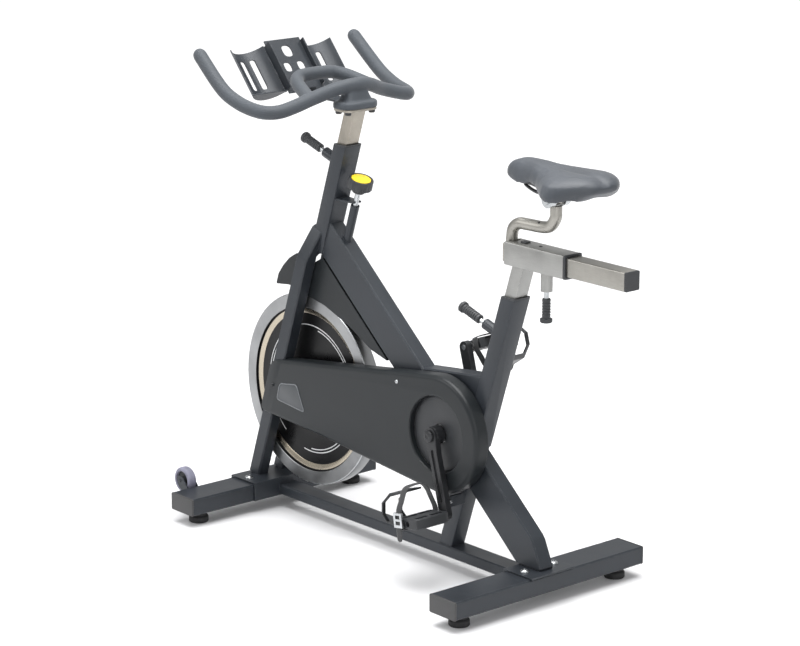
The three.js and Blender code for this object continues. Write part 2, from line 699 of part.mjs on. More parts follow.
// The cover as a solid, drawn in by a wall thickness; its outer face turns inwards ahead of the fork leg.
function coverSolid(inset) {
  const { x0, x1, edge } = COVER;
  const body = sidePrism(coverOutline(inset), x0 - 12 - inset, x1 - inset, edge, 6);
  const wedge = new THREE.Shape([
    new THREE.Vector2(x1 - inset, 21),
    new THREE.Vector2(x1 - inset - 6, -30),
    new THREE.Vector2(x1 + 10, -30),
    new THREE.Vector2(x1 + 10, 21),
  ]);
  return body.subtract(prism(wedge, -560, -200, forkFrame, 0, 1));
}

function driveCover() {
  const { x0, x1, wall, recess, recessDepth } = COVER;
  const shell = cut(
    coverSolid(0),
    block(x0 - 30, x0, -660, 160, 150, 480),
    coverSolid(wall),
  );
  const pan = disc(recess + 2, x1 - recessDepth - 2, x1 - 1, 0, CRANK_Z, 40);
  const legSlot = prism(
    roundedRectangle(2 * FORK.outer + 2, FORK.depth + 2, 3), -520, -200, forkFrame, 0, 1,
  );
  const cover = cut(
    join(shell, pan),
    disc(recess, x1 - recessDepth, x1 + 5, 0, CRANK_Z, 40),
    disc(24, x0, x1 + 5, 0, CRANK_Z, 24),
    legSlot,
  );
  piece("drive_cover", cover, coverPlastic);

  const back = cut(
    sidePrism(coverOutline(wall + 2), x0 - 0.5, x0 + 1.5, 0, 10),
    block(0, 80, -640, -440, 200, 420),
    disc(26, 0, 80, 0, CRANK_Z, 24),
  );
  piece("cover_back_plate", back, coverPlastic);
  const inner = x1 - recessDepth + GAP;
  piece("crank_side_disc", turned([[21, inner], [recess - 0.5, inner], [recess - 0.5, inner + 2], [21, inner + 2]],
    0, CRANK_Z, 36), darkPlastic);
}

function flywheelGuard() {
  const { half, wall, clear } = GUARD;
  const under = (y) => beamZ(BEAM.bottom - 5, y);
  const outline = roundedOutline(
    [
      [-596, 535], [-588, 560], [-571, 582], [-548, 604], [-519, 621], [-511, 560], [-503, 556],
      [-455, 611], [-430, under(-430)],
      [-205, under(-205)], [-262, 446], [-339, 486], [-423, 516], [-506, 532], [-548, 541],
    ],
    5,
  );
  const shell = cut(
    sidePrism(outline, -half, half, 0, 3),
    disc(clear, wall - half, half - wall, WHEEL.y, WHEEL.z, 60),
    block(-12.5, 12.5, -470, -360, 500, 600),
    rod(9, [0, 0, -240], [0, 0, -60], knobFrame, 16),
  );
  piece("flywheel_guard", shell, coverPlastic);
}

// ---------------------------------------------------------------- saddle post and slide
// Plastic sleeve in a tube's mouth, cut level with a thin rim above the tube.
function bush(frame, top, post) {
  const level = (z0, z1) => block(-60, 60, -700, 500, z0, z1);
  const rim = tubeSolid(frame, -20, 30).intersect(level(top + GAP, top + 3.3));
  const sleeve = prism(
    roundedRectangle(TUBE.width - 2 * TUBE.wall - 0.6, TUBE.depth - 2 * TUBE.wall - 0.6, 1), -36, 20, frame, 0, 1,
  ).subtract(level(top + 3.3, top + 90));
  return cut(
    join(rim, sleeve),
    prism(roundedRectangle(post.width + 0.6, post.depth + 0.6, 2), -90, 60, frame, 0, 2),
  );
}

function springPin(frame, drop) {
  const face = -TUBE.depth / 2;
  const { boss, neck, grip, radius, gripRadius } = PIN;
  const start = face - boss - neck;
  return join(
    rod(radius, [0, face + TUBE.wall + 1.2, -drop], [0, start - 5, -drop], frame, 14),
    rod(gripRadius, [0, start, -drop], [0, start - grip + 8, -drop], frame, 18),
    rod(gripRadius + 1.5, [0, start - grip + 10, -drop], [0, start - grip, -drop], frame, 18),
    block(-5, 5, start - grip + 4, start - grip + 12, -drop - 13, -drop + 13, frame),
  );
}

function saddleGroup() {
  const { y0, y1, z0, z1, outer, inner, rear } = SLIDE;
  piece("seat_post_bush", bush(seatFrame, SEAT_TOP.z, SEAT_POST), darkPlastic);

  // Post, slide housing and pin boss are one weldment.
  const post = prism(roundedRectangle(SEAT_POST.width, SEAT_POST.depth, 2), -230, 90, seatFrame, 0, 2).subtract(
    block(-40, 40, 100, 300, z0 + 4, z0 + 90),
  );
  const postBore = block(-15, 15, -13.5, 13.5, -232, 60, seatFrame);
  const holes = [0, 1, 2, 3, 4, 5, 6].map((i) =>
    rod(5.6, [0, -30, -SEAT_PIN_DROP + 40 - i * 25], [0, 0, -SEAT_PIN_DROP + 40 - i * 25], seatFrame, 8),
  );
  const middleZ = (z0 + z1) / 2;
  const alongY = new THREE.Matrix4().makeRotationX(Math.PI / 2).setPosition(0, 0, middleZ);
  const housing = prism(roundedRectangle(outer, z1 - z0, 4), -y1, -y0, alongY, 0, 2);
  const bore = block(-inner / 2 - 1, inner / 2 + 1, y0 - 5, y1 + 5, middleZ - inner / 2 - 1, middleZ + inner / 2 + 1);
  const pinY = 274;
  const boss = rod(12.5, [0, pinY, z0 + 1], [0, pinY, 678]);
  const notch = block(-14, 14, y0 - 5, y0 + 13, z1 - 8, z1 + 5);
  const seatPost = cut(
    join(post, housing, boss), bore, postBore, notch, ...holes,
    rod(5.4, [0, pinY, 660], [0, pinY, z0 + 20], undefined, 14),
    rod(2.5, [0, 254, z1 - 10], [0, 254, z1 + 5], undefined, 10),
  );
  piece("seat_post", seatPost, satinSteel);

  const slidePin = join(
    rod(5, [0, pinY, z0 + 5], [0, pinY, 655], undefined, 12),
    rod(9, [0, pinY, 664], [0, pinY, 622], undefined, 18),
    rod(11, [0, pinY, 624], [0, pinY, 612], undefined, 18),
    block(-16, 16, pinY - 5, pinY + 5, 611, 621),
  );
  piece("slide_pop_pin", slidePin, darkPlastic);
  piece("seat_pop_pin", springPin(seatFrame, SEAT_PIN_DROP), darkPlastic);

  const collar = cut(
    prism(roundedRectangle(outer, z1 - z0 + 1, 4), -y1 - 6, -y1 - GAP, alongY, 1, 2),
    prism(roundedRectangle(inner + 0.8, inner + 0.8, 3), -y1 - 20, -y1 + 5, alongY, 0, 2),
  );
  piece("slide_collar", collar, darkPlastic);

  // Inner slide tube with the gooseneck welded on at its front end.
  const tube = prism(roundedRectangle(inner, inner, 3), -rear, -162, alongY, 0, 2);
  const tubeBoreBlock = block(-inner / 2 + 2, inner / 2 - 2, 190, rear + 5, middleZ - 18, middleZ + 18);
  const neck = sweep(
    curveThrough([
      [0, 168, 755], [0, 168, 775], [0, 173, 795], [0, 190, 807], [0, 214, 809],
      [0, 262, 811], [0, 284, 818], [0, 297, 836], [0, 298, 848], [0, 298, 862],
    ]),
    12.5, 18, 6,
  );
  const slots = [0, 1, 2, 3, 4].map((i) =>
    rod(5.6, [0, pinY + 30 * i, middleZ - 25], [0, pinY + 30 * i, middleZ - 10], undefined, 8),
  );
  const eye = join(
    disc(12, -13, 13, TILT_AXIS.y, TILT_AXIS.z, 24),
    block(-12, 12, TILT_AXIS.y - 10, TILT_AXIS.y + 10, 858, TILT_AXIS.z),
  );
  const eyeHole = disc(6.6, -14, 14, TILT_AXIS.y, TILT_AXIS.z, 16);
  const bar = cut(join(tube, neck, eye), tubeBoreBlock, eyeHole, ...slots);
  piece("saddle_slide_bar", bar, brushedSteel);
  const cap = join(
    prism(roundedRectangle(inner, inner, 3), -rear - 4, -rear - GAP, alongY, 0, 2),
    block(-17.5, 17.5, rear - 12, rear + 1, middleZ - 17.5, middleZ + 17.5),
  );
  piece("slide_end_cap", cap, darkPlastic);
  saddle();
}

function saddle() {
  const { y: clampY, z: clampZ } = TILT_AXIS;
  // Two cheeks and their bolt tilt on the eye of the gooseneck and grip the rails.
  const cheek = (side) => {
    const [x0, x1] = side > 0 ? [13.6, 27] : [-27, -13.6];
    return join(
      disc(16, x0, x1, clampY, clampZ, 20),
      block(x0, x1, clampY - 18, clampY + 18, clampZ + 2, clampZ + 14),
    );
  };
  const clamp = cut(
    join(cheek(1), cheek(-1), disc(6, -34, 34, clampY, clampZ, 12), disc(9, 27, 33, clampY, clampZ, 6)),
    ...[-1, 1].map((side) =>
      rod(4.8, [side * 21, clampY - 40, clampZ + 11], [side * 21, clampY + 40, clampZ + 11], undefined, 12)),
  );
  piece("saddle_clamp", clamp, zincSteel);

  const railZ = clampZ + 11;
  const rails = sweep(
    curveThrough([
      [-42, 393, railZ + 9], [-37, 376, railZ + 6], [-27, 352, railZ + 1], [-21, 330, railZ],
      [-21, 300, railZ], [-21, 268, railZ], [-16, 240, railZ + 3], [-8, 215, railZ + 8], [0, 210, railZ + 9],
      [8, 215, railZ + 8], [16, 240, railZ + 3], [21, 268, railZ],
      [21, 300, railZ], [21, 330, railZ], [27, 352, railZ + 1], [37, 376, railZ + 6], [42, 393, railZ + 9],
    ]),
    3.6, 30, 3,
  );
  piece("saddle_rails", rails, blackSteel);

  // The pad is a dome with a skirt; the hard base fills the hollow under it.
  const dome = SADDLE_STATIONS.map(([y, half, crest, skirt]) => {
    const widest = THREE.MathUtils.lerp(skirt, crest, 0.35);
    return ring(16, (c, s) => {
      const [x, z] = [c, s].map((v) => Math.sign(v) * Math.abs(v) ** 0.72);
      return [half * x, y, widest + z * (z > 0 ? crest - widest : widest - skirt)];
    });
  });
  const core = (skin, bottom) =>
    SADDLE_STATIONS.slice(3, -3).map(([y, half, crest], i, all) => {
      const end = i === 0 ? skin : i === all.length - 1 ? -skin : 0;
      const [reach, top] = [half - SADDLE_WALL - skin, crest - SADDLE_FOAM - skin];
      return [
        [reach, bottom], [reach, top - 10], [0.7 * reach, top],
        [-0.7 * reach, top], [-reach, top - 10], [-reach, bottom],
      ].map(([x, z]) => [x, y + end, z]);
    });
  piece("saddle_pad", loft(dome).subtract(loft(core(0, clampZ - 40))), foam);
  piece("saddle_base", loft(core(GAP, clampZ + 25)), darkPlastic);
}

// ---------------------------------------------------------------- handlebar
function handlebarGroup() {
  piece("head_post_bush", bush(headFrame, HEAD_TOP.z, HEAD_POST), darkPlastic);
  piece("head_pop_pin", springPin(headFrame, HEAD_PIN_DROP), darkPlastic);
  const plateY = -337;
  const post = prism(roundedRectangle(HEAD_POST.width, HEAD_POST.depth, 2), -190, 110, headFrame, 0, 2).subtract(
    block(-40, 40, -420, -200, HEAD_POST.top, HEAD_POST.top + 90),
  );
  const postBore = block(-14.5, 14.5, -13.5, 13.5, -200, 60, headFrame);
  const holes = [0, 1, 2, 3, 4].map((i) =>
    rod(5.6, [0, -30, -HEAD_PIN_DROP + 20 - i * 25], [0, 0, -HEAD_PIN_DROP + 20 - i * 25], headFrame, 8),
  );
  const plate = prism(roundedRectangle(92, 60, 22), HEAD_POST.top - 4, HEAD_POST.top + 1,
    new THREE.Matrix4().setPosition(0, plateY, 0), 0, 4);
  const bolts = [[-34, -16], [34, -16], [-34, 16], [34, 16]].map(([x, y]) =>
    rod(6, [x, plateY + y, HEAD_POST.top - 12], [x, plateY + y, HEAD_POST.top], undefined, 12),
  );
  piece("head_post", cut(join(post, plate, ...bolts), postBore, ...holes), brushedSteel);

  const half = [
    [222, -604, 1083], [223, -576, 1060], [224, -546, 1036], [224, -518, 1016], [222, -490, 1002],
    [217, -450, 989], [208, -405, 982], [186, -377, 983], [150, -368, 991], [97, -362, 1006], [45, -342, 1024],
  ];
  const mirrored = half.map(([x, y, z]) => [-x, y, z]).reverse();
  const bar = sweep(curveThrough([...half, [0, -332, 1030], ...mirrored]), BAR_RADIUS, 40, 7);
  const loopHalf = [[106, -364, 1003], [92, -400, 1012], [74, -447, 1026], [54, -468, 1033], [28, -473, 1036]];
  const loop = sweep(
    curveThrough([...loopHalf, ...loopHalf.map(([x, y, z]) => [-x, y, z]).reverse()]), BAR_RADIUS, 18, 7,
  );
  const plateTop = HEAD_POST.top + 1 + GAP;
  const oval = prism(roundedRectangle(104, 66, 30), plateTop, plateTop + 16,
    new THREE.Matrix4().setPosition(0, plateY, 0), 4, 4);
  const stem = solid(
    new THREE.CylinderGeometry(18, 36, 44, 4, 1).rotateY(Math.PI / 4).rotateX(Math.PI / 2).scale(1.25, 0.95, 1)
      .translate(0, -340, plateTop + 34),
  );
  const barEnds = [1, -1].map((side) =>
    solid(new THREE.SphereGeometry(BAR_RADIUS, 14, 8).translate(side * 222, -604, 1083)));
  piece("handlebar", join(bar, loop, oval, stem, ...barEnds), foam);
  bottleHolder();
}

// Sheet-steel rack ahead of the bar: a flat middle panel with a bottle trough and shelf on each side.
function bottleHolder() {
  const leanBack = Math.atan2(78, 90);
  const frame = new THREE.Matrix4().makeRotationX(leanBack).setPosition(0, -510, 1000);
  const sheet = 3;
  const radius = 56;
  const troughX = 97;
  const trough = new THREE.Shape();
  const span = THREE.MathUtils.degToRad(58);
  const points = (r, reverse) => {
    const list = [];
    for (let i = 0; i <= 10; i++) {
      const a = -Math.PI / 2 - span + (2 * span * i) / 10;
      list.push([troughX + r * Math.cos(a), 21 + r * Math.sin(a)]);
    }
    return reverse ? list.reverse() : list;
  };
  [...points(radius, false), ...points(radius - sheet, true)].forEach(([x, y], i) =>
    i ? trough.lineTo(x, y) : trough.moveTo(x, y));
  trough.closePath();
  const height = 122;
  const leftTrough = prism(trough, 0, height, frame, 0, 2);
  const rightShape = new THREE.Shape(trough.getPoints().map((p) => new THREE.Vector2(-p.x, p.y)).reverse());
  const rightTrough = prism(rightShape, 0, height, frame, 0, 2);
  const panel = block(-50, 50, -2.5, 0.5, -10, height + 7, frame);
  const flanges = [1, -1].map((side) => {
    const [x0, x1] = side > 0 ? [47, 50] : [-50, -47];
    return block(x0, x1, -12, 14, 0, height - 3, frame);
  });
  const shelfShape = (side) => {
    const shelf = new THREE.Shape();
    shelf.absarc(side * troughX, 21, radius - 1, Math.PI + 0.5, 2 * Math.PI - 0.5, false);
    shelf.closePath();
    return shelf;
  };
  const shelves = [1, -1].map((side) => prism(shelfShape(side), 0, 3, frame, 0, 8));
  const upright = new THREE.Matrix4().makeRotationX(Math.PI / 2);
  const slot = (x, z0, z1, wide) => {
    const shape = roundedRectangle(wide, z1 - z0, 0.45 * wide);
    const place = frame.clone().multiply(upright.clone().setPosition(x, 0, (z0 + z1) / 2));
    return prism(shape, -30, 60, place, 0, 3);
  };
  const arm = join(
    block(-22, 22, -506, -374, 986, 990),
    block(-22, 22, -510, -498, 986, 1000),
  );
  const rack = cut(
    join(panel, leftTrough, rightTrough, ...flanges, ...shelves),
    slot(82, 24, 102, 13), slot(109, 24, 102, 13), slot(-82, 24, 102, 13), slot(-109, 24, 102, 13),
    slot(0, 82, 112, 26), slot(-19, 44, 68, 19), slot(19, 44, 68, 19),
  );
  piece("bottle_holder", join(rack, arm), powderCoat);
}

// ---------------------------------------------------------------- brake
function brakeGroup() {
  const rimGap = 6.5;
  const rodRadius = 6;
  const foot = -243;
  piece("resistance_rod", rod(rodRadius, [0, 0, foot + 12], [0, 0, 40], knobFrame, 16), zincSteel);
  const grips = [];
  for (let i = 0; i < 12; i++) {
    const a = (i * Math.PI) / 6;
    const [x, y] = [29.5 * Math.cos(a), 29.5 * Math.sin(a)];
    grips.push(rod(3, [x, y, 40], [x, y, 70], knobFrame, 6));
  }
  const knob = cut(
    join(rod(28, [0, 0, 43], [0, 0, 64], knobFrame, 24), rod(14, [0, 0, 33], [0, 0, 44], knobFrame)),
    ...grips,
    rod(rodRadius + GAP, [0, 0, 30], [0, 0, 41], knobFrame, 16),
  );
  piece("resistance_knob", knob, darkPlastic);
  piece("knob_cap", rod(22, [0, 0, 64 + GAP], [0, 0, 67], knobFrame, 30), yellowPlastic);
  const pad = cut(
    block(-11, 11, -18, 18, foot - 6, foot + 16, knobFrame),
    disc(WHEEL.radius + rimGap, -20, 20, WHEEL.y, WHEEL.z, 72),
    rod(rodRadius + 2 * GAP, [0, 0, foot + 6], [0, 0, foot + 20], knobFrame, 12),
  );
  piece("brake_pad", pad, felt);
}

piece("main_frame", mainFrame(), powderCoat);
feetAndWheels();
flywheelSet();
driveTrain();
driveCover();
flywheelGuard();
saddleGroup();
handlebarGroup();
brakeGroup();

export default bike;
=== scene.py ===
"""Looks of the indoor spin bike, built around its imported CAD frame. Metres, +Z up, front towards -Y."""
import math

import bmesh
import bpy
from mathutils import Matrix, Vector
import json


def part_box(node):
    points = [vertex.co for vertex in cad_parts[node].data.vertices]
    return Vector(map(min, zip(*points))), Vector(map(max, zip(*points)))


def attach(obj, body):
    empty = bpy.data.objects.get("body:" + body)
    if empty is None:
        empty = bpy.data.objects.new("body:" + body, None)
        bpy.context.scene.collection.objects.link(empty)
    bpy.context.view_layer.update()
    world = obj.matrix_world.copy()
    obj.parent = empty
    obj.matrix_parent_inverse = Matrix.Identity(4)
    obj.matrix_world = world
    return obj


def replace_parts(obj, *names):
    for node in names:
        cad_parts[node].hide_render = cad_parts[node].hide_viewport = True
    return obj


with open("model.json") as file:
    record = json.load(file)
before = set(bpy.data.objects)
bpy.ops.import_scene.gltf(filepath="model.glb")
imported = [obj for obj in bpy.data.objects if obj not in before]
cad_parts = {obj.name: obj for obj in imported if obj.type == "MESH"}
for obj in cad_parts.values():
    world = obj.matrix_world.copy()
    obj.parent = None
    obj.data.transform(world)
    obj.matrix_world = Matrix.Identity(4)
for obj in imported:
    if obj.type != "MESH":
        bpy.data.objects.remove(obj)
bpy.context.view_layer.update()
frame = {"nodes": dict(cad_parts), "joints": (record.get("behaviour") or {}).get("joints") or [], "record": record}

X = Vector((1, 0, 0))
Y = Vector((0, 1, 0))
Z = Vector((0, 0, 1))
MM = 0.001
SHARP_ANGLE = 32  # degrees between two faces, over which their edge is shaded sharp
FORK_LEAN = math.radians(18.35)
PEDAL_PITCH = {"left": 9, "right": 205}  # degrees, at rest
BAR_RADIUS = 15.5 * MM
STEM_BACK = 267  # millimetres from the bar's tips back to the middle of its stem
JOINTS = {joint["name"]: joint for joint in frame["joints"]}
BODY_OF = {node: body for body, nodes in frame["record"]["behaviour"]["bodies"].items() for node in nodes}


# ---------------------------------------------------------------- materials
def add(tree, kind, inputs, **settings):
    """Adds a shader node, sets it up and wires its inputs. Returns the node."""
    made = tree.nodes.new("ShaderNode" + kind)
    for key, value in settings.items():
        setattr(made, key, value)
    for key, value in inputs.items():
        socket = made.inputs[key]
        if isinstance(value, bpy.types.NodeSocket):
            tree.links.new(value, socket)
        else:
            socket.default_value = value
    return made


def mix_color(tree, factor, first, second):
    made = add(tree, "Mix", {}, data_type="RGBA")
    for index, value in ((0, factor), (6, first), (7, second)):
        if isinstance(value, bpy.types.NodeSocket):
            tree.links.new(value, made.inputs[index])
        else:
            made.inputs[index].default_value = value
    return made.outputs[2]


def remap(tree, value, low, high, to_low=0.0, to_high=1.0):
    inputs = {"Value": value, "From Min": low, "From Max": high, "To Min": to_low, "To Max": to_high}
    return add(tree, "MapRange", inputs).outputs["Result"]


FINISH = {}


def surface(name, color, edge, rough, metallic=0.0, grain=(900, 900, 900), height=0.03 * MM,
            patch=14.0, vary=0.25, radius=0.8 * MM, coat=0.0, sheen=0.0, edge_highlight_and_scuff_amount=0.5, shine=0.5):
    """A procedural finish: patches of tone, a fine grain in colour, gloss and bump, and a painted edge highlight:
    rounded edges lightened towards the edge colour, broken up by scuff noise so that they also read as wear.

    It is kept in FINISH under its name.
    """
    material = bpy.data.materials.new(name)
    material.use_nodes = True
    tree = material.node_tree
    tree.nodes.clear()
    place = add(tree, "TexCoord", {}).outputs["Object"]
    stretched = add(tree, "Mapping", {"Vector": place, "Scale": grain}).outputs["Vector"]
    fine = add(tree, "TexNoise", {"Vector": stretched, "Scale": 1.0, "Detail": 3.0}).outputs["Fac"]
    broad = add(tree, "TexNoise", {"Vector": place, "Scale": patch, "Detail": 4.0}).outputs["Fac"]
    scuffs = add(tree, "TexNoise", {"Vector": place, "Scale": patch * 9, "Detail": 5.0}).outputs["Fac"]
    rounded = add(tree, "Bevel", {"Radius": radius}, samples=4).outputs["Normal"]
    normal = add(tree, "NewGeometry", {}).outputs["Normal"]
    facing = add(tree, "VectorMath", {0: rounded, 1: normal}, operation="DOT_PRODUCT").outputs["Value"]
    on_edge = remap(tree, facing, 1.0, 0.94)
    rubbed = remap(tree, scuffs, 0.4, 0.65)
    # painted edge highlight, partly wear: rounded edges are lightened towards the edge colour where the scuff
    # noise is high
    edge_highlight_and_scuff_mask = add(tree, "Math", {0: on_edge, 1: rubbed}, operation="MULTIPLY").outputs["Value"]
    edge_highlight_and_scuff_mask = add(tree, "Math", {0: edge_highlight_and_scuff_mask, 1: edge_highlight_and_scuff_amount}, operation="MULTIPLY").outputs["Value"]
    shade = remap(tree, broad, 0.3, 0.7, 1 - vary, 1 + vary)
    speck = remap(tree, fine, 0.3, 0.7, 1 - vary / 2, 1 + vary / 2)
    tone = add(tree, "Math", {0: shade, 1: speck}, operation="MULTIPLY").outputs["Value"]
    tinted = add(tree, "VectorMath", {0: color, "Scale": tone}, operation="SCALE").outputs["Vector"]
    painted = mix_color(tree, edge_highlight_and_scuff_mask, tinted, (*edge, 1))
    gloss = remap(tree, broad, 0.3, 0.7, rough[0], rough[1])
    gritty = remap(tree, fine, 0.2, 0.8, -0.05, 0.05)
    roughness = add(tree, "Math", {0: gloss, 1: gritty}, operation="ADD").outputs["Value"]
    bump = add(tree, "Bump", {"Height": fine, "Distance": height, "Strength": 1.0, "Normal": rounded})
    shader = add(tree, "BsdfPrincipled", {
        "Base Color": painted, "Metallic": metallic, "Roughness": roughness,
        "Normal": bump.outputs["Normal"], "Coat Weight": coat, "Coat Roughness": 0.25,
        "Specular IOR Level": shine,
        "Sheen Weight": sheen, "Sheen Roughness": 0.4,
    })
    output = add(tree, "OutputMaterial", {})
    tree.links.new(shader.outputs["BSDF"], output.inputs["Surface"])
    FINISH[name] = material
    return material


# the second colour of each finish is its edge colour, a painted edge highlight that also stands for wear
surface("powder_coat", (0.023, 0.027, 0.033), (0.11, 0.115, 0.125), (0.36, 0.5), 0.15,
        (700, 700, 700), 0.05 * MM, 9, 0.14, 1.6 * MM, 0.15, edge_highlight_and_scuff_amount=0.55, shine=0.3)
surface("dark_plastic", (0.022, 0.024, 0.027), (0.09, 0.09, 0.095), (0.42, 0.58), 0,
        (1100, 1100, 1100), 0.04 * MM, 20, 0.2, 1 * MM)
surface("cover_plastic", (0.0125, 0.0148, 0.0166), (0.09, 0.1, 0.11), (0.34, 0.44), 0,
        (1300, 1300, 1300), 0.03 * MM, 7, 0.16, 2 * MM, 0.05, edge_highlight_and_scuff_amount=0.35, shine=0.25)
surface("brushed_steel", (0.31, 0.3, 0.275), (0.6, 0.58, 0.54), (0.32, 0.46), 1,
        (2600, 40, 2600), 0.02 * MM, 18, 0.16, 1 * MM, edge_highlight_and_scuff_amount=0.6)
surface("satin_steel", (0.3, 0.3, 0.29), (0.62, 0.62, 0.6), (0.34, 0.48), 1,
        (1900, 60, 1900), 0.02 * MM, 16, 0.12, 1.4 * MM, edge_highlight_and_scuff_amount=0.6)
surface("post_steel", (0.33, 0.305, 0.265), (0.6, 0.57, 0.52), (0.34, 0.48), 1,
        (2400, 900, 60), 0.02 * MM, 18, 0.16, 1 * MM, edge_highlight_and_scuff_amount=0.6)
surface("cast_steel", (0.3, 0.305, 0.31), (0.55, 0.55, 0.55), (0.3, 0.42), 1,
        (300, 1700, 1700), 0.02 * MM, 20, 0.14, 0.6 * MM)
surface("zinc_steel", (0.44, 0.455, 0.465), (0.7, 0.71, 0.73), (0.2, 0.34), 1,
        (900, 900, 900), 0.02 * MM, 60, 0.15, 0.6 * MM)
surface("black_steel", (0.018, 0.019, 0.021), (0.16, 0.16, 0.17), (0.32, 0.46), 0.3,
        (800, 800, 800), 0.04 * MM, 25, 0.2, 0.8 * MM, edge_highlight_and_scuff_amount=0.6)
surface("rubber", (0.014, 0.014, 0.015), (0.05, 0.05, 0.05), (0.6, 0.78), 0,
        (900, 900, 900), 0.06 * MM, 30, 0.25, 0.8 * MM)
surface("bar_foam", (0.04, 0.047, 0.056), (0.07, 0.078, 0.088), (0.62, 0.74), 0,
        (1500, 1500, 1500), 0.06 * MM, 12, 0.12, 1.5 * MM, sheen=0.15, edge_highlight_and_scuff_amount=0.2)
surface("saddle_cover", (0.036, 0.042, 0.051), (0.07, 0.078, 0.09), (0.44, 0.58), 0,
        (650, 650, 650), 0.12 * MM, 12, 0.14, 1 * MM, sheen=0.1, edge_highlight_and_scuff_amount=0.2)
surface("grey_tyre", (0.19, 0.19, 0.25), (0.3, 0.3, 0.36), (0.6, 0.75), 0,
        (900, 900, 900), 0.06 * MM, 40, 0.18, 0.8 * MM)
surface("yellow_plastic", (0.78, 0.56, 0.02), (0.9, 0.75, 0.2), (0.36, 0.5), 0,
        (900, 900, 900), 0.03 * MM, 60, 0.08, 0.8 * MM, 0.2)
surface("felt", (0.16, 0.12, 0.08), (0.2, 0.16, 0.11), (0.9, 0.98), 0,
        (1600, 300, 900), 0.3 * MM, 60, 0.3, 0.6 * MM, sheen=0.4)
surface("gold_step", (0.42, 0.375, 0.3), (0.6, 0.56, 0.48), (0.18, 0.28), 1,
        (200, 1700, 1700), 0.01 * MM, 20, 0.08, 0.4 * MM)
surface("disc_paint", (0.004, 0.004, 0.0045), (0.02, 0.02, 0.022), (0.26, 0.38), 0,
        (900, 900, 900), 0.02 * MM, 12, 0.12, 0.8 * MM, 0.05, edge_highlight_and_scuff_amount=0.2, shine=0.2)
surface("webbing", (0.02, 0.021, 0.023), (0.07, 0.07, 0.075), (0.6, 0.75), 0,
        (700, 2600, 700), 0.25 * MM, 40, 0.3, 0.5 * MM, sheen=0.3)
# badge rim: a lighter grey than the cover, a painted highlight along the raised rim
surface("badge_rim_highlight", (0.13, 0.14, 0.15), (0.2, 0.21, 0.22), (0.3, 0.42), 0,
        (900, 900, 900), 0.02 * MM, 30, 0.15, 0.4 * MM, 0.2)
surface("badge_face", (0.045, 0.05, 0.056), (0.1, 0.1, 0.11), (0.38, 0.5), 0,
        (1300, 1300, 1300), 0.03 * MM, 18, 0.2, 0.4 * MM, 0.1)
surface("cap_plastic", (0.04, 0.04, 0.041), (0.1, 0.1, 0.1), (0.45, 0.58), 0,
        (1100, 1100, 1100), 0.04 * MM, 24, 0.2, 1 * MM)
surface("pale_ink", (0.62, 0.63, 0.64), (0.7, 0.7, 0.7), (0.4, 0.5), 0,
        (900, 900, 900), 0.02 * MM, 60, 0.1, 0.2 * MM)


# ---------------------------------------------------------------- smooth shading of CAD nodes
def smoothing_nodes():
    """Geometry nodes that weld split corners and shade the mesh smooth, except across steep edges."""
    group = bpy.data.node_groups.new("smooth_by_angle", "GeometryNodeTree")
    group.interface.new_socket("Geometry", in_out="INPUT", socket_type="NodeSocketGeometry")
    group.interface.new_socket("Geometry", in_out="OUTPUT", socket_type="NodeSocketGeometry")
    make = group.nodes.new
    link = group.links.new
    source, result = make("NodeGroupInput"), make("NodeGroupOutput")
    weld, smooth, sharpen = (make("GeometryNode" + kind) for kind in
                             ("MergeByDistance", "SetShadeSmooth", "SetShadeSmooth"))
    angle = make("GeometryNodeInputMeshEdgeAngle")
    steep = make("FunctionNodeCompare")
    weld.inputs["Distance"].default_value = 0.01 * MM
    steep.data_type = "FLOAT"
    steep.operation = "GREATER_THAN"
    steep.inputs["B"].default_value = math.radians(SHARP_ANGLE)
    sharpen.domain = "EDGE"
    sharpen.inputs["Shade Smooth"].default_value = False
    link(source.outputs[0], weld.inputs[0])
    link(weld.outputs[0], smooth.inputs[0])
    link(smooth.outputs[0], sharpen.inputs[0])
    link(angle.outputs[0], steep.inputs["A"])
    link(steep.outputs[0], sharpen.inputs["Selection"])
    link(sharpen.outputs[0], result.inputs[0])
    return group


def dress_cad_nodes():
    smoothing = smoothing_nodes()
    overrides = {"head_post": "post_steel"}
    for row in frame["record"]["subparts"]:
        node = frame["nodes"][row["node"]]
        finish = FINISH[overrides.get(row["node"], row["material_slot"])]
        node.data.materials.clear()
        node.data.materials.append(finish)
        node.modifiers.new("smooth", "NODES").node_group = smoothing


# ---------------------------------------------------------------- measures taken from the frame
def axis_line(node, axis, across=X):
    """The two ends of the straight line that a long turned node runs along."""
    points = [vertex.co for vertex in frame["nodes"][node].data.vertices]
    side = axis.cross(across).normalized()

    def middle(direction):
        reach = [point.dot(direction) for point in points]
        return (min(reach) + max(reach)) / 2

    base = side * middle(side) + across * middle(across)
    along = [point.dot(axis) for point in points]
    return base + axis * min(along), base + axis * max(along)


def turn_frame(origin, axis):
    """A matrix whose local X runs along axis from origin."""
    return Matrix.Translation(origin) @ axis.to_track_quat("X", "Z").to_matrix().to_4x4()


def upright_frame(x, y, z):
    """A matrix whose local X runs up and local Y backwards, from the given place."""
    return Matrix.Translation((x, y, z)) @ Matrix((Z, Y, -X)).transposed().to_4x4()


ACROSS = Matrix.Identity(4)  # local X is the frame's own X, from the bike's right to its left


def mirrored(points):
    """The other half of a symmetrical path, in the order that carries it on."""
    return [Vector((-point.x, point.y, point.z)) for point in reversed(points)]


def clamped(value):
    return max(0.0, min(1.0, value))


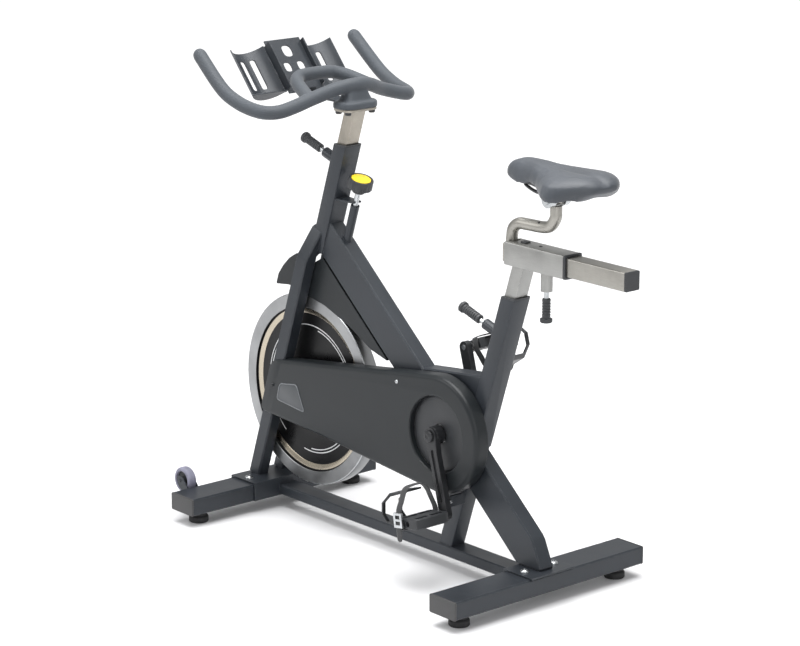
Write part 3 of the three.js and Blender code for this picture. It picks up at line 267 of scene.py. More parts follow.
# ---------------------------------------------------------------- mesh building
def piece(name, mesh, body, slot, finishes=None, smooth_angle=SHARP_ANGLE):
    """A shown object made from a bmesh or mesh, riding on a body."""
    if isinstance(mesh, bmesh.types.BMesh):
        data = bpy.data.meshes.new(name)
        bmesh.ops.recalc_face_normals(mesh, faces=mesh.faces)
        mesh.to_mesh(data)
        mesh.free()
        mesh = data
    for finish in finishes or [slot]:
        mesh.materials.append(FINISH[finish])
    mesh.shade_smooth()
    mesh.set_sharp_from_angle(angle=math.radians(smooth_angle))
    made = bpy.data.objects.new(name, mesh)
    bpy.context.scene.collection.objects.link(made)
    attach(made, body)
    return made


def skin_rings(mesh, rings, looped=False, capped=True, marks=None):
    """Joins rings of vertices by quads. The two ends are capped, left open, or looped from last to first.

    marks gives a material index for each place round a ring.
    """
    if capped:
        mesh.faces.new(rings[0])
        mesh.faces.new(list(reversed(rings[-1])))
    size = len(rings[0])
    for low, high in zip(rings, [*rings[1:], rings[0]] if looped else rings[1:]):
        for k in range(size):
            face = mesh.faces.new((low[k], low[(k + 1) % size], high[(k + 1) % size], high[k]))
            face.material_index = marks[k] if marks else 0


def spins(steps):
    """Unit vectors round local X."""
    angles = (2 * math.pi * k / steps for k in range(steps))
    return [Vector((0, math.cos(angle), math.sin(angle))) for angle in angles]


def lathe(mesh, profile, matrix, steps=64, marks=None):
    """Adds a closed [radius, along] profile turned about local X, with a material index per segment."""
    rings = [[mesh.verts.new(matrix @ (spin * radius + X * along)) for radius, along in profile]
             for spin in spins(steps)]
    skin_rings(mesh, rings, looped=True, capped=False, marks=marks)


def solid_turn(mesh, profile, matrix, steps=48):
    """Adds an open [radius, along] profile turned about local X and closed by a cap at each end."""
    skin_rings(mesh, [[mesh.verts.new(matrix @ (spin * radius + X * along)) for spin in spins(steps)]
                      for radius, along in profile])


def spline(a, b, c, d, t):
    """A point of the Catmull-Rom curve through a, b, c and d, between b and c."""
    return 0.5 * (2 * b + (c - a) * t + (2 * a - 5 * b + 4 * c - d) * t ** 2
                  + (3 * b - 3 * c + d - a) * t ** 3)


def smooth_path(points, per_span=8):
    """Points along a smooth curve through the given points."""
    padded = [points[0] * 2 - points[1], *points, points[-1] * 2 - points[-2]]
    spans = zip(padded, padded[1:], padded[2:], padded[3:])
    return [*(spline(*span, k / per_span) for span in spans for k in range(per_span)), points[-1]]


def sweep(mesh, path, radius, sides=28, rounded_ends=True):
    """Adds a round bar along a path, with domed ends."""
    tangents = [(after - before).normalized() for before, after in
                zip([path[0], *path[:-1]], [*path[1:], path[-1]])]
    normal = tangents[0].orthogonal().normalized()
    stations = []
    for point, tangent in zip(path, tangents):
        normal = (normal - tangent * normal.dot(tangent)).normalized()
        stations.append((point, tangent, normal, radius))
    if rounded_ends:
        dome = [(math.sin(a), math.cos(a)) for a in (math.radians(d) for d in (12, 35, 60))]
        first, last = stations[0], stations[-1]
        stations = [
            *[(first[0] - first[1] * radius * c, first[1], first[2], radius * s) for s, c in dome],
            *stations,
            *[(last[0] + last[1] * radius * c, last[1], last[2], radius * s) for s, c in reversed(dome)],
        ]
    rings = []
    for point, tangent, normal, size in stations:
        side = tangent.cross(normal)
        rings.append([
            mesh.verts.new(point + size * (normal * math.cos(a) + side * math.sin(a)))
            for a in (2 * math.pi * k / sides for k in range(sides))
        ])
    skin_rings(mesh, rings)


def remeshed(source, voxel, smooth_rounds):
    """The joined outer skin of a mesh's overlapping shells, with soft fillets where they meet."""
    data = bpy.data.meshes.new("remeshed")
    bmesh.ops.recalc_face_normals(source, faces=source.faces)
    source.to_mesh(data)
    source.free()
    carrier = bpy.data.objects.new("remeshed", data)
    bpy.context.scene.collection.objects.link(carrier)
    remesh = carrier.modifiers.new("remesh", "REMESH")
    remesh.mode = "VOXEL"
    remesh.voxel_size = voxel
    relax = carrier.modifiers.new("relax", "SMOOTH")
    relax.iterations = smooth_rounds
    relax.factor = 0.5
    graph = bpy.context.evaluated_depsgraph_get()
    result = bpy.data.meshes.new_from_object(carrier.evaluated_get(graph))
    bpy.data.objects.remove(carrier)
    return result


def from_mesh(node):
    """A bmesh copy of a CAD node."""
    mesh = bmesh.new()
    mesh.from_mesh(frame["nodes"][node].data)
    bmesh.ops.remove_doubles(mesh, verts=mesh.verts, dist=0.01 * MM)
    return mesh


def middle_of(node):
    low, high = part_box(node)
    return (low + high) / 2


def rounded(profile, radius, steps=3, closed=False):
    """A 2D profile with each corner between two long enough edges turned into a small arc."""
    result = []
    count = len(profile)
    for i, corner in enumerate(profile):
        here = Vector(corner)
        if not closed and i in (0, count - 1):
            result.append(tuple(here))
            continue
        before, after = Vector(profile[i - 1]), Vector(profile[(i + 1) % count])
        back, ahead = before - here, after - here
        reach = min(radius, 0.45 * back.length, 0.45 * ahead.length)
        start, end = here + back.normalized() * reach, here + ahead.normalized() * reach
        for k in range(steps + 1):
            t = k / steps
            result.append(tuple((1 - t) ** 2 * start + 2 * t * (1 - t) * here + t * t * end))
    return result


def respun(node, axis, radius=0.8 * MM, steps=72):
    """A CAD node of revolution, read back as its profile, turned in fine steps with softened corners."""
    source = from_mesh(node)
    centre = middle_of(node)
    place = turn_frame(centre, axis)
    inverse = place.inverted()

    def key(vertex):
        local = inverse @ vertex.co
        return round(math.hypot(local.y, local.z) * 5000) / 5000, round(local.x * 5000) / 5000

    links = {}
    for edge in source.edges:
        first, second = (key(vertex) for vertex in edge.verts)
        if first != second:
            links.setdefault(first, set()).add(second)
            links.setdefault(second, set()).add(first)
    source.free()
    ends = sorted(point for point, others in links.items() if len(others) == 1)
    chain = [ends[0] if ends else min(links)]
    while True:
        following = sorted(point for point in links[chain[-1]] if point not in chain)
        if not following:
            break
        chain.append(following[0])
    mesh = bmesh.new()
    if ends:
        solid_turn(mesh, rounded(chain, radius), place, steps)
    else:
        lathe(mesh, rounded(chain, radius, closed=True), place, steps)
    return mesh


def prism(mesh, outline, place, low, high, edge=0.0, steps=4):
    """Adds a 2D outline extruded along local X from low to high, its high rim rounded over by edge."""
    count = len(outline)
    area = sum(a[0] * b[1] - b[0] * a[1] for a, b in zip(outline, [*outline[1:], outline[0]]))
    turn = 1 if area > 0 else -1
    inward = []
    for i in range(count):
        before, after = Vector(outline[i - 1]), Vector(outline[(i + 1) % count])
        along = (after - before).normalized()
        inward.append(Vector((-along.y, along.x)) * turn)
    levels = [(low, 0.0)]
    for k in range(steps + 1):
        angle = k / steps * math.pi / 2
        levels.append((high - edge + edge * math.sin(angle), edge * (1 - math.cos(angle))))
    if not edge:
        levels = [(low, 0.0), (high, 0.0)]
    rings = [
        [mesh.verts.new(place @ Vector((x, point[0] + way.x * inset, point[1] + way.y * inset)))
         for point, way in zip(outline, inward)]
        for x, inset in levels
    ]
    skin_rings(mesh, rings)


def carved(body, *tools):
    """A bmesh after a chain of (operation, bmesh) boolean steps."""
    def carrier(mesh):
        data = bpy.data.meshes.new("carrier")
        bmesh.ops.recalc_face_normals(mesh, faces=mesh.faces)
        mesh.to_mesh(data)
        mesh.free()
        made = bpy.data.objects.new("carrier", data)
        bpy.context.scene.collection.objects.link(made)
        return made

    target = carrier(body)
    helpers = []
    for operation, tool in tools:
        helper = carrier(tool)
        helpers.append(helper)
        step = target.modifiers.new("step", "BOOLEAN")
        step.operation = operation
        step.object = helper
        step.solver = "MANIFOLD"
    graph = bpy.context.evaluated_depsgraph_get()
    result = bpy.data.meshes.new_from_object(target.evaluated_get(graph))
    for spent in (target, *helpers):
        bpy.data.objects.remove(spent)
    mesh = bmesh.new()
    mesh.from_mesh(result)
    return mesh


def rounded_box_outline(half_y, half_z, radius, steps=6):
    """Corner-rounded rectangle about the origin."""
    corners = ((1, 1), (-1, 1), (-1, -1), (1, -1))
    points = []
    for i, (y, z) in enumerate(corners):
        for k in range(steps + 1):
            angle = (i + k / steps) * math.pi / 2
            points.append((y * (half_y - radius) + radius * math.cos(angle),
                           z * (half_z - radius) + radius * math.sin(angle)))
    return points


def circle_outline(centre, radius, steps=96):
    return [(centre[0] + radius * math.cos(2 * math.pi * k / steps),
             centre[1] + radius * math.sin(2 * math.pi * k / steps)) for k in range(steps)]


# ---------------------------------------------------------------- turned parts
def turned_parts():
    """Fine versions of the CAD nodes that a lathe makes."""
    rows = [("crank_side_disc", X, 1), ("axle_bearing_left", X, 0.6), ("axle_bearing_right", X, 0.6),
            ("knob_cap", lean_axis("resistance_turn"), 0.8)]
    rows += [(f"transport_{kind}_{hand}", X, 1.6 if kind == "tyre" else 0.8)
             for kind in ("tyre", "hub") for hand in ("left", "right")]
    for node, axis, radius in rows:
        slot = next(row["material_slot"] for row in frame["record"]["subparts"] if row["node"] == node)
        made = piece(f"{node}_turned", respun(node, axis, radius * MM), BODY_OF[node], slot)
        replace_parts(made, node)


def lean_axis(joint):
    return Vector(JOINTS[joint]["axis"]).normalized()


def levelling_foot(row, hand):
    """A two-tier rubber foot on a bright threaded stud."""
    node = f"levelling_foot_{row}_{hand}"
    low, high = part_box(node)
    centre = middle_of(node)
    base = (high.x - low.x) / 2
    place = turn_frame(Vector((centre.x, centre.y, low.z)), Z)
    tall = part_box(f"{row}_stabiliser")[0].z - low.z - 1.5 * MM
    neck = base - 4.5 * MM
    profile = [(base - 1.5 * MM, 0), (base, 2 * MM), (base, 12 * MM), (base - 2 * MM, 15 * MM),
               (neck, 16 * MM), (neck, tall - 2 * MM), (neck - 1.5 * MM, tall), (6 * MM, tall)]
    pad = bmesh.new()
    solid_turn(pad, rounded(profile, 0.8 * MM), place, 64)
    stud = bmesh.new()
    solid_turn(stud, threaded(5 * MM, tall - 2 * MM, high.z - low.z, 1.5 * MM), place, 28)
    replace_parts(piece(f"{node}_pad", pad, BODY_OF[node], "rubber"), node)
    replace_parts(piece(f"{node}_stud", stud, BODY_OF[node], "zinc_steel"), node)


def frame_bolt(row, hand):
    """A dome-headed bolt with a round socket."""
    node = f"frame_bolt_{row}_{hand}"
    low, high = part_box(node)
    centre = middle_of(node)
    reach = (high.x - low.x) / 2
    tall = high.z - low.z
    rim = tall - 6.4 * MM
    dome = [(reach * math.cos(angle), tall - 6 * MM + 5.6 * MM * math.sin(angle))
            for angle in (math.radians(6 * k) for k in range(12))]
    crown = dome[-1][1]
    mesh = bmesh.new()
    solid_turn(mesh, [(4 * MM, 0), (4 * MM, rim), (reach, rim), *dome,
                      (3.4 * MM, crown + 0.2 * MM), (3 * MM, crown - 2 * MM)],
               turn_frame(Vector((centre.x, centre.y, low.z)), Z))
    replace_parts(piece(f"{node}_dome", mesh, "frame", "zinc_steel"), node)


def feet_and_bolts():
    for row in ("front", "rear"):
        for hand in ("left", "right"):
            levelling_foot(row, hand)
            frame_bolt(row, hand)


def threaded(radius, start, end, pitch):
    """Profile of a screw thread as rings of a given pitch."""
    profile = [(radius, start)]
    along = start + pitch / 2
    while along < end - pitch:
        profile += [(radius - 0.6 * MM, along), (radius, along + pitch / 2)]
        along += pitch
    return [*profile, (radius - 1 * MM, end)]


# ---------------------------------------------------------------- pull pins
def ribbed_grip(start, length, radius, collar):
    """Profile of a ribbed pull grip with a wide flange at its outer end."""
    profile = [(radius - 2 * MM, start), (radius, start + 2 * MM)]
    along = start + 7 * MM
    while along < start + length - 16 * MM:
        profile += [(radius, along), (radius - 1.3 * MM, along + 0.8 * MM),
                    (radius - 1.3 * MM, along + 2.2 * MM), (radius, along + 3 * MM)]
        along += 6 * MM
    end = start + length
    return [*profile, (radius - 0.5 * MM, end - 10 * MM), (collar, end - 8 * MM), (collar, end - 2 * MM),
            (collar - 1.5 * MM, end), (4 * MM, end + 0.4 * MM)]


def pull_pins():
    """Each spring pin's bright shaft and its ribbed grip."""
    shaft_radius = 5 * MM
    for joint, node, radius, collar, length in (
        ("seat_pin_pull", "seat_pop_pin", 10, 12.5, 62),
        ("head_pin_pull", "head_pop_pin", 10, 12.5, 62),
        ("slide_pin_pull", "slide_pop_pin", 9, 13, 52),
    ):
        axis = lean_axis(joint)
        inner, outer = axis_line(node, axis)
        grip_start = (outer - inner).length - length * MM
        place = turn_frame(inner, axis)
        shaft = bmesh.new()
        profile = [(shaft_radius - 1 * MM, 0), (shaft_radius, 1.5 * MM), (shaft_radius, grip_start + 4 * MM)]
        solid_turn(shaft, rounded(profile, 0.5 * MM), place, 32)
        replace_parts(piece(f"{node}_shaft", shaft, BODY_OF[node], "zinc_steel"), node)
        grip = bmesh.new()
        profile = ribbed_grip(grip_start, length * MM - 0.5 * MM, radius * MM, collar * MM)
        solid_turn(grip, profile, place, 56)
        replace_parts(piece(f"{node}_grip", grip, BODY_OF[node], "dark_plastic"), node)


# ---------------------------------------------------------------- resistance knob
def knob():
    """A fluted knob on its rod; twelve finger grooves run down its rim."""
    low, high = axis_line("resistance_knob", lean_axis("resistance_turn"))
    bottom, top = (low, high) if low.z < high.z else (high, low)
    place = turn_frame(bottom, (top - bottom).normalized())
    face = (top - bottom).length / MM
    skirt = [(6.5, 0), (13, 0), (14, 1), (14, face - 21), (19, face - 20.5), (27, face - 20),
             (28.3, face - 18.5), (28.3, face + 1), (27.6, face + 2.6), (26, face + 3.2),
             (24.4, face + 2.8), (23.4, face + 1), (23, face - 1), (6.5, face - 1)]
    grooves, groove_depth, steps = 12, 1.6, 144
    mesh = bmesh.new()
    rings = []
    for radius, along in skirt:
        ring = []
        for k in range(steps):
            angle = 2 * math.pi * k / steps
            fluted = along < face and radius > 26
            groove = max(0.0, math.cos(grooves * angle)) ** 2 * groove_depth if fluted else 0
            out = radius - groove
            point = Vector((along, out * math.cos(angle), out * math.sin(angle)))
            ring.append(mesh.verts.new(place @ (point * MM)))
        rings.append(ring)
    skin_rings(mesh, rings, looped=True, capped=False)
    shown = piece("resistance_knob_fluted", mesh, "brake_knob", "dark_plastic", smooth_angle=40)
    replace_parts(shown, "resistance_knob")


# ---------------------------------------------------------------- flywheel
def flywheel():
    """Machined steel flywheel: bright rim, polished step and a black dished disc, with a painted highlight of
    brighter zinc steel on the rim's outer corner.
    """
    low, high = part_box("flywheel")
    outer = (high.z - low.z) / 2 / MM
    face = (high.x - low.x) / 2 / MM
    steel, gold, black, bright = range(4)
    side = [
        (8.3, 17, steel), (28.5, 17, steel), (30, 15.8, steel), (33, 8.4, black), (35, 7, black),
        (outer - 46, 7, gold), (outer - 45, 7.6, gold), (outer - 34.5, 10.8, black),
        (outer - 32.5, 11, black), (outer - 31, face - 0.8, steel), (outer - 30, face, steel),
        # the band marked bright on the rim's outer corner is a painted highlight: brighter zinc steel standing in
        # for the white edge highlight
        (outer - 2.6, face, bright), (outer - 0.6, face - 1.2, steel), (outer, face - 3, steel),
    ]
    profile = [(radius * MM, -along * MM) for radius, along, finish in side]
    profile += [(radius * MM, along * MM) for radius, along, finish in reversed(side)]
    half = [finish for radius, along, finish in side[:-1]]
    marks = [*half, steel, *reversed(half), steel]
    mesh = bmesh.new()
    lathe(mesh, profile, Matrix.Translation(middle_of("flywheel")), 180, marks)
    wheel = piece("flywheel_turned", mesh, "flywheel_assembly", "cast_steel",
                  ["cast_steel", "gold_step", "disc_paint", "zinc_steel"], 20)
    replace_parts(wheel, "flywheel")


def flywheel_arcs():
    """Thin pale arcs on both faces of the black disc."""
    mesh = bmesh.new()
    place = Matrix.Translation(middle_of("flywheel"))
    disc_face, ink, half_width = 6.6 * MM, 0.75 * MM, 1.1
    for hand in (1, -1):
        for radius, first, length in ((150, 20, 92), (143, 30, 50)):
            for start in (first, first + 120, first + 240):
                angles = [math.radians(angle) for angle in range(start, start + length + 1, 2)]
                outline = [(edge * MM * math.cos(angle), edge * MM * math.sin(angle))
                           for edge, way in ((radius + half_width, 1), (radius - half_width, -1))
                           for angle in angles[::way]]
                prism(mesh, outline, place, *sorted((hand * disc_face, hand * (disc_face + ink))))
    piece("flywheel_arcs", mesh, "flywheel_assembly", "cast_steel", ["pale_ink"])


# ---------------------------------------------------------------- drive cover
def cover_outline(inset=0.0):
    """Teardrop round the crank: (y, z) in metres."""
    centre = middle_of("crank_side_disc")
    low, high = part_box("drive_cover")
    radius = high.y - centre.y - inset
    points = [(centre.y + radius * math.cos(a), centre.z + radius * math.sin(a))
              for a in (math.radians(-95.3 + 193.7 * k / 64) for k in range(65))]
    slope = math.tan(FORK_LEAN)
    top = high.z - 78 * MM - inset
    nose_z = low.z + 68 * MM
    nose_y = low.y + inset

    def front(z):
        return nose_y + (z - nose_z) * slope

    def bend(start, control, end, steps=8):
        return [tuple((1 - t) ** 2 * Vector(start) + 2 * t * (1 - t) * Vector(control) + t * t * Vector(end))
                for t in (k / steps for k in range(steps + 1))]

    tip = (front(top) + 26 * MM, top + 3 * MM)
    points += bend(tip, (front(top) + 3 * MM, top), (front(top - 20 * MM), top - 20 * MM))
    toe = low.z + 50 * MM + inset
    points += bend((front(toe + 18 * MM), toe + 18 * MM), (front(toe), toe),
                   (front(toe) + 26 * MM, toe - 1 * MM))
    points.append((centre.y - 380 * MM, low.z + 35 * MM + inset))
    return points


def drive_cover():
    """Thin shell with a round recess for the crank's disc, a slot for the fork leg and a faceted nose."""
    low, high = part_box("drive_cover")
    centre = middle_of("crank_side_disc")
    disc_low, disc_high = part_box("crank_side_disc")
    pan = (disc_high.z - disc_low.z) / 2 + 0.5 * MM
    floor = disc_low.x - 0.3 * MM
    wall = 2.5 * MM

    def slab(outline, start, end, *rim):
        mesh = bmesh.new()
        prism(mesh, outline, ACROSS, start, end, *rim)
        return mesh

    def disc(radius, start, end, steps=96):
        return slab(circle_outline((centre.y, centre.z), radius, steps), start, end)

    lip = bmesh.new()
    lathe(lip, [(pan - 0.5 * MM, -1 * MM), (pan + 2.4 * MM, 2.6 * MM), (pan - 1 * MM, 2.6 * MM)],
          Matrix.Translation((high.x - 2.2 * MM, centre.y, centre.z)), 96)
    outer = slab(cover_outline(), low.x, high.x, 11 * MM, 8)
    inner = slab(cover_outline(wall), low.x - 5 * MM, high.x - wall, 9 * MM, 4)
    mesh = carved(
        outer,
        ("DIFFERENCE", carved(inner, ("DIFFERENCE", nose_facet(high.x - wall)))),
        ("UNION", disc(pan + 2 * MM, floor - 2 * MM, high.x - 1 * MM)),
        ("DIFFERENCE", disc(pan, floor, high.x + 5 * MM)),
        ("DIFFERENCE", lip),
        ("DIFFERENCE", disc(24 * MM, low.x - 5 * MM, high.x, 64)),
        ("DIFFERENCE", leg_slot()),
        ("DIFFERENCE", nose_facet(high.x)),
    )
    bmesh.ops.remove_doubles(mesh, verts=mesh.verts, dist=0.02 * MM)
    bmesh.ops.dissolve_limit(mesh, angle_limit=math.radians(0.4), verts=mesh.verts, edges=mesh.edges)
    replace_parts(piece("drive_cover_shell", mesh, "frame", "cover_plastic", smooth_angle=35), "drive_cover")


def leg_frame():
    """Local Y runs back across the left fork leg and local Z up it; origin level with the flywheel axle."""
    axle = middle_of("flywheel")
    up = Vector((0, math.sin(FORK_LEAN), math.cos(FORK_LEAN)))
    back = Vector((0, math.cos(FORK_LEAN), -math.sin(FORK_LEAN)))
    origin = Matrix.Translation((0, axle.y - 83 * MM, axle.z + 2 * MM))
    return origin @ Matrix((X, back, up)).transposed().to_4x4()


def leg_block(corners, reach):
    """A bar with the given (x, back) section that runs along the left fork leg, reach metres up and down."""
    place = leg_frame()
    mesh = bmesh.new()
    skin_rings(mesh, [[mesh.verts.new(place @ Vector((x, back, up))) for x, back in corners]
                      for up in (-reach, reach)])
    return mesh


def leg_slot():
    """The gap that the fork leg passes through."""
    half, deep, beyond = 18.5 * MM, 53 * MM, -10 * MM
    return leg_block([(beyond, -half), (deep, -half), (deep, half), (beyond, half)], 0.15)


def nose_facet(face):
    """A wedge that takes the cover's face inwards ahead of the fork leg."""
    ahead, behind, outside = -32 * MM, 21 * MM, face + 12 * MM
    inner_rear, inner_front = face + 0.05 * MM, face - 6 * MM
    return leg_block([(inner_rear, behind), (inner_front, ahead), (outside, ahead), (outside, behind)], 0.2)


def cover_details():
    """Blank badge with a raised rim and two screws on the cover's face; the rim's lighter grey is a painted
    highlight.
    """
    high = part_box("drive_cover")[1]
    centre = middle_of("crank_side_disc")

    def at(y, z, lift=0.0):
        return Vector((high.x + lift, centre.y + y * MM, centre.z + z * MM))

    badge = rounded([(-534, 0), (-474, 10), (-446, -49), (-545, -39)], 9, 5, closed=True)
    rim = bmesh.new()
    ring_sweep(rim, [at(y, z, 0.1 * MM) for y, z in badge], 1.3 * MM)
    # the rim's lighter grey is a painted highlight
    piece("cover_badge_rim", rim, "frame", "cover_plastic", ["badge_rim_highlight"], 60)
    plate = bmesh.new()
    outline = [(centre.y + y * MM, centre.z + z * MM) for y, z in badge]
    prism(plate, outline, ACROSS, high.x - 1 * MM, high.x + 0.5 * MM, 0.3 * MM, 2)
    piece("cover_badge", plate, "frame", "cover_plastic", ["badge_face"])
    for name, y, z, radius in (("cover_screw", -127, 92, 4.6), ("nose_screw", -562, -8, 3.4)):
        mesh = bmesh.new()
        head = [(1, -3), (1, 0.6), (0.8, 1.9), (0.45, 2.3), (0.4, 1.2)]
        profile = [(radius * share * MM, along * MM) for share, along in head]
        solid_turn(mesh, profile, Matrix.Translation(at(y, z)), 32)
        piece(name, mesh, "frame", "zinc_steel" if name == "cover_screw" else "dark_plastic")


def ring_sweep(mesh, path, radius, sides=10):
    """Adds a thin round bead along a closed path that lies in a plane of constant X."""
    rings = []
    count = len(path)
    for i, point in enumerate(path):
        tangent = (path[(i + 1) % count] - path[i - 1]).normalized()
        side = tangent.cross(X).normalized()
        rings.append([mesh.verts.new(point + radius * (X * math.cos(a) + side * math.sin(a)))
                      for a in (2 * math.pi * k / sides for k in range(sides))])
    skin_rings(mesh, rings, looped=True, capped=False)


# ---------------------------------------------------------------- handlebar
BAR_HALF = [
    (222, 0, 0), (223, 28, -23), (224, 58, -47), (224, 86, -67), (222, 114, -81), (217, 154, -94),
    (208, 199, -101), (186, 227, -100), (150, 236, -92), (97, 242, -77), (45, 262, -59),
]
BAR_MIDDLE = (0, 272, -53)
LOOP_HALF = [(106, 240, -80), (92, 204, -71), (74, 157, -57), (54, 136, -50), (28, 131, -47)]


def bar_point(x, y, z):
    """A point given in millimetres from the middle between the bar's tips."""
    low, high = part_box("handlebar")
    return Vector((x * MM, low.y + BAR_RADIUS + y * MM, high.z - BAR_RADIUS + z * MM))


def handlebar():
    """Foam-dipped bar, centre loop and stem in one skin, with soft fillets where they meet."""
    half = [bar_point(*row) for row in BAR_HALF]
    loop = [bar_point(*row) for row in LOOP_HALF]
    mesh = bmesh.new()
    sweep(mesh, smooth_path([*half, bar_point(*BAR_MIDDLE), *mirrored(half)], 6), BAR_RADIUS)
    sweep(mesh, smooth_path([*loop, *mirrored(loop)], 6), BAR_RADIUS * 0.97)
    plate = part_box("head_post")[1].z + 0.3 * MM
    flange = upright_frame(0, bar_point(0, STEM_BACK, 0).y, plate)
    prism(mesh, rounded_box_outline(33 * MM, 52 * MM, 30 * MM), flange, 0, 16 * MM, 5 * MM, 4)
    foot = rounded_box_outline(23 * MM, 38 * MM, 9 * MM)
    top = rounded_box_outline(12 * MM, 21 * MM, 8 * MM)
    skin_rings(mesh, [[mesh.verts.new(flange @ Vector((x, y, z))) for y, z in outline]
                      for x, outline in ((10 * MM, foot), (50 * MM, top))])
    skin = remeshed(mesh, 2.5 * MM, 6)
    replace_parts(piece("handlebar_skin", skin, "handlebar_post", "bar_foam", smooth_angle=80), "handlebar")


def stem_bolts():
    """Black button-head bolts under the bar's mounting plate."""
    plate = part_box("head_post")[1].z - 5 * MM
    middle = bar_point(0, STEM_BACK, 0).y
    mesh = bmesh.new()
    for x in (-34, 34):
        for y in (-16, 16):
            place = turn_frame(Vector((x * MM, middle + y * MM, plate)), Z)
            solid_turn(mesh, [(3 * MM, -7.6 * MM), (6.6 * MM, -7 * MM), (7.4 * MM, -5 * MM),
                              (7.4 * MM, -1 * MM), (8 * MM, 0)], place, 24)
    piece("stem_bolts", mesh, "handlebar_post", "black_steel")


# ---------------------------------------------------------------- saddle
def shape_pad(skin, low, high):
    """Gives the pad its two rear lobes, its centre channel and a hem that arches up at the back."""
    for vertex in skin.vertices:
        along = (vertex.co.y - low.y) / (high.y - low.y)
        off = abs(vertex.co.x)
        top = clamped((vertex.co.z - high.z + 26 * MM) / (20 * MM))
        channel = math.exp(-(off / (11 * MM)) ** 2) * clamped((along - 0.3) / 0.3)
        lobe = math.exp(-((off - 48 * MM) / (26 * MM)) ** 2) * math.exp(-((along - 0.84) / 0.16) ** 2)
        vertex.co.z += top * (1.2 * lobe - 4.5 * channel) * MM
        hem = clamped((high.z - 38 * MM - vertex.co.z) / (12 * MM))
        arch = math.exp(-(off / (26 * MM)) ** 2) * clamped((along - 0.82) / 0.1)
        vertex.co.z += hem * (7.0 * arch - 2.5) * MM


def inflated(skin, limit):
    """A copy of a closed mesh blown up as cloth, with no point moved by more than limit."""
    carrier = bpy.data.objects.new("pad_source", skin)
    bpy.context.scene.collection.objects.link(carrier)
    original = [vertex.co.copy() for vertex in skin.vertices]
    cloth = carrier.modifiers.new("cloth", "CLOTH").settings
    cloth.use_pressure = True
    cloth.uniform_pressure_force = 4
    cloth.effector_weights.gravity = 0
    cloth.quality = 4
    cloth.tension_stiffness = 40
    cloth.compression_stiffness = 40
    cloth.bending_stiffness = 2
    scene = bpy.context.scene
    for number in range(1, 21):
        scene.frame_set(number)
    graph = bpy.context.evaluated_depsgraph_get()
    final = bpy.data.meshes.new_from_object(carrier.evaluated_get(graph))
    for vertex, start in zip(final.vertices, original):
        move = vertex.co - start
        vertex.co = start + move * min(1.0, limit / max(move.length, 1e-9))
    bpy.data.objects.remove(carrier)
    scene.frame_set(1)
    return final


def saddle_pad():
    """Padded saddle: the frame's pad, shaped and then blown up as cloth."""
    skin = remeshed(from_mesh("saddle_pad"), 3.5 * MM, 4)
    shape_pad(skin, *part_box("saddle_pad"))
    shown = piece("saddle_cushion", inflated(skin, 2.5 * MM), "saddle", "saddle_cover", smooth_angle=80)
    relax = shown.modifiers.new("relax", "SMOOTH")
    relax.iterations = 3
    finer = shown.modifiers.new("finer", "SUBSURF")
    finer.levels = finer.render_levels = 1
    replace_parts(shown, "saddle_pad")


RAIL_HALF = [(42, 95, 20), (37, 78, 17), (27, 54, 12), (21, 32, 11), (21, 2, 11), (21, -30, 11),
             (16, -58, 14), (8, -83, 19)]
RAIL_NOSE = (0, -88, 20)
NECK = [(-130, -121), (-130, -101), (-125, -81), (-108, -69), (-84, -67), (-36, -65), (-14, -58), (-1, -40),
        (0, -28), (0, -14)]


def saddle_rails():
    """The bent wire that carries the pad, in one loop through its nose."""
    tilt = Vector(JOINTS["saddle_tilt"]["pos_m"])
    half = [tilt + Vector(row) * MM for row in RAIL_HALF]
    mesh = bmesh.new()
    sweep(mesh, smooth_path([*half, tilt + Vector(RAIL_NOSE) * MM, *mirrored(half)], 6), 3.6 * MM, 16)
    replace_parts(piece("saddle_rails_round", mesh, "saddle", "black_steel"), "saddle_rails")


def slide_bar():
    """The square slide bar with its pin holes, and its bent round neck with an eye at the top."""
    tilt = Vector(JOINTS["saddle_tilt"]["pos_m"])
    low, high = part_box("saddle_slide_bar")
    side = high.x
    middle_z = middle_of("slide_end_cap").z
    along = Matrix.Translation((0, 0, middle_z)) @ Matrix((Y, Z, X)).transposed().to_4x4()
    tube = bmesh.new()
    prism(tube, rounded_box_outline(side, side, 3 * MM), along, low.y + 6.5 * MM, high.y)
    holes = []
    for step in range(5):
        hole = bmesh.new()
        place = upright_frame(0, tilt.y - 24 * MM + step * 30 * MM, middle_z)
        prism(hole, circle_outline((0, 0), 5.6 * MM, 32), place, -30 * MM, -10 * MM)
        holes.append(("DIFFERENCE", hole))
    mesh = carved(tube, *holes)
    sweep(mesh, smooth_path([tilt + Vector((0, *row)) * MM for row in NECK], 8), 12.5 * MM, 40, False)
    bore, rim, half = 6.6 * MM, 12 * MM, 13 * MM
    eye = rounded([(bore, -half), (rim, -half), (rim, half), (bore, half)], 0.8 * MM, closed=True)
    lathe(mesh, eye, Matrix.Translation(tilt), 48)
    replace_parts(piece("slide_bar_and_neck", mesh, "saddle_slide", "brushed_steel"), "saddle_slide_bar")


def neck_set_screw():
    mesh = bmesh.new()
    out = Vector((0.62, 0, 0.78)).normalized()
    middle = Vector(JOINTS["saddle_tilt"]["pos_m"]) + Vector((0, -42, -65)) * MM
    solid_turn(mesh, [(2.6 * MM, 0), (2.6 * MM, 1.1 * MM), (1.4 * MM, 1.2 * MM), (1.2 * MM, 0.4 * MM)],
               turn_frame(middle + out * 11.6 * MM, out), 20)
    piece("neck_set_screw", mesh, "saddle_slide", "black_steel")


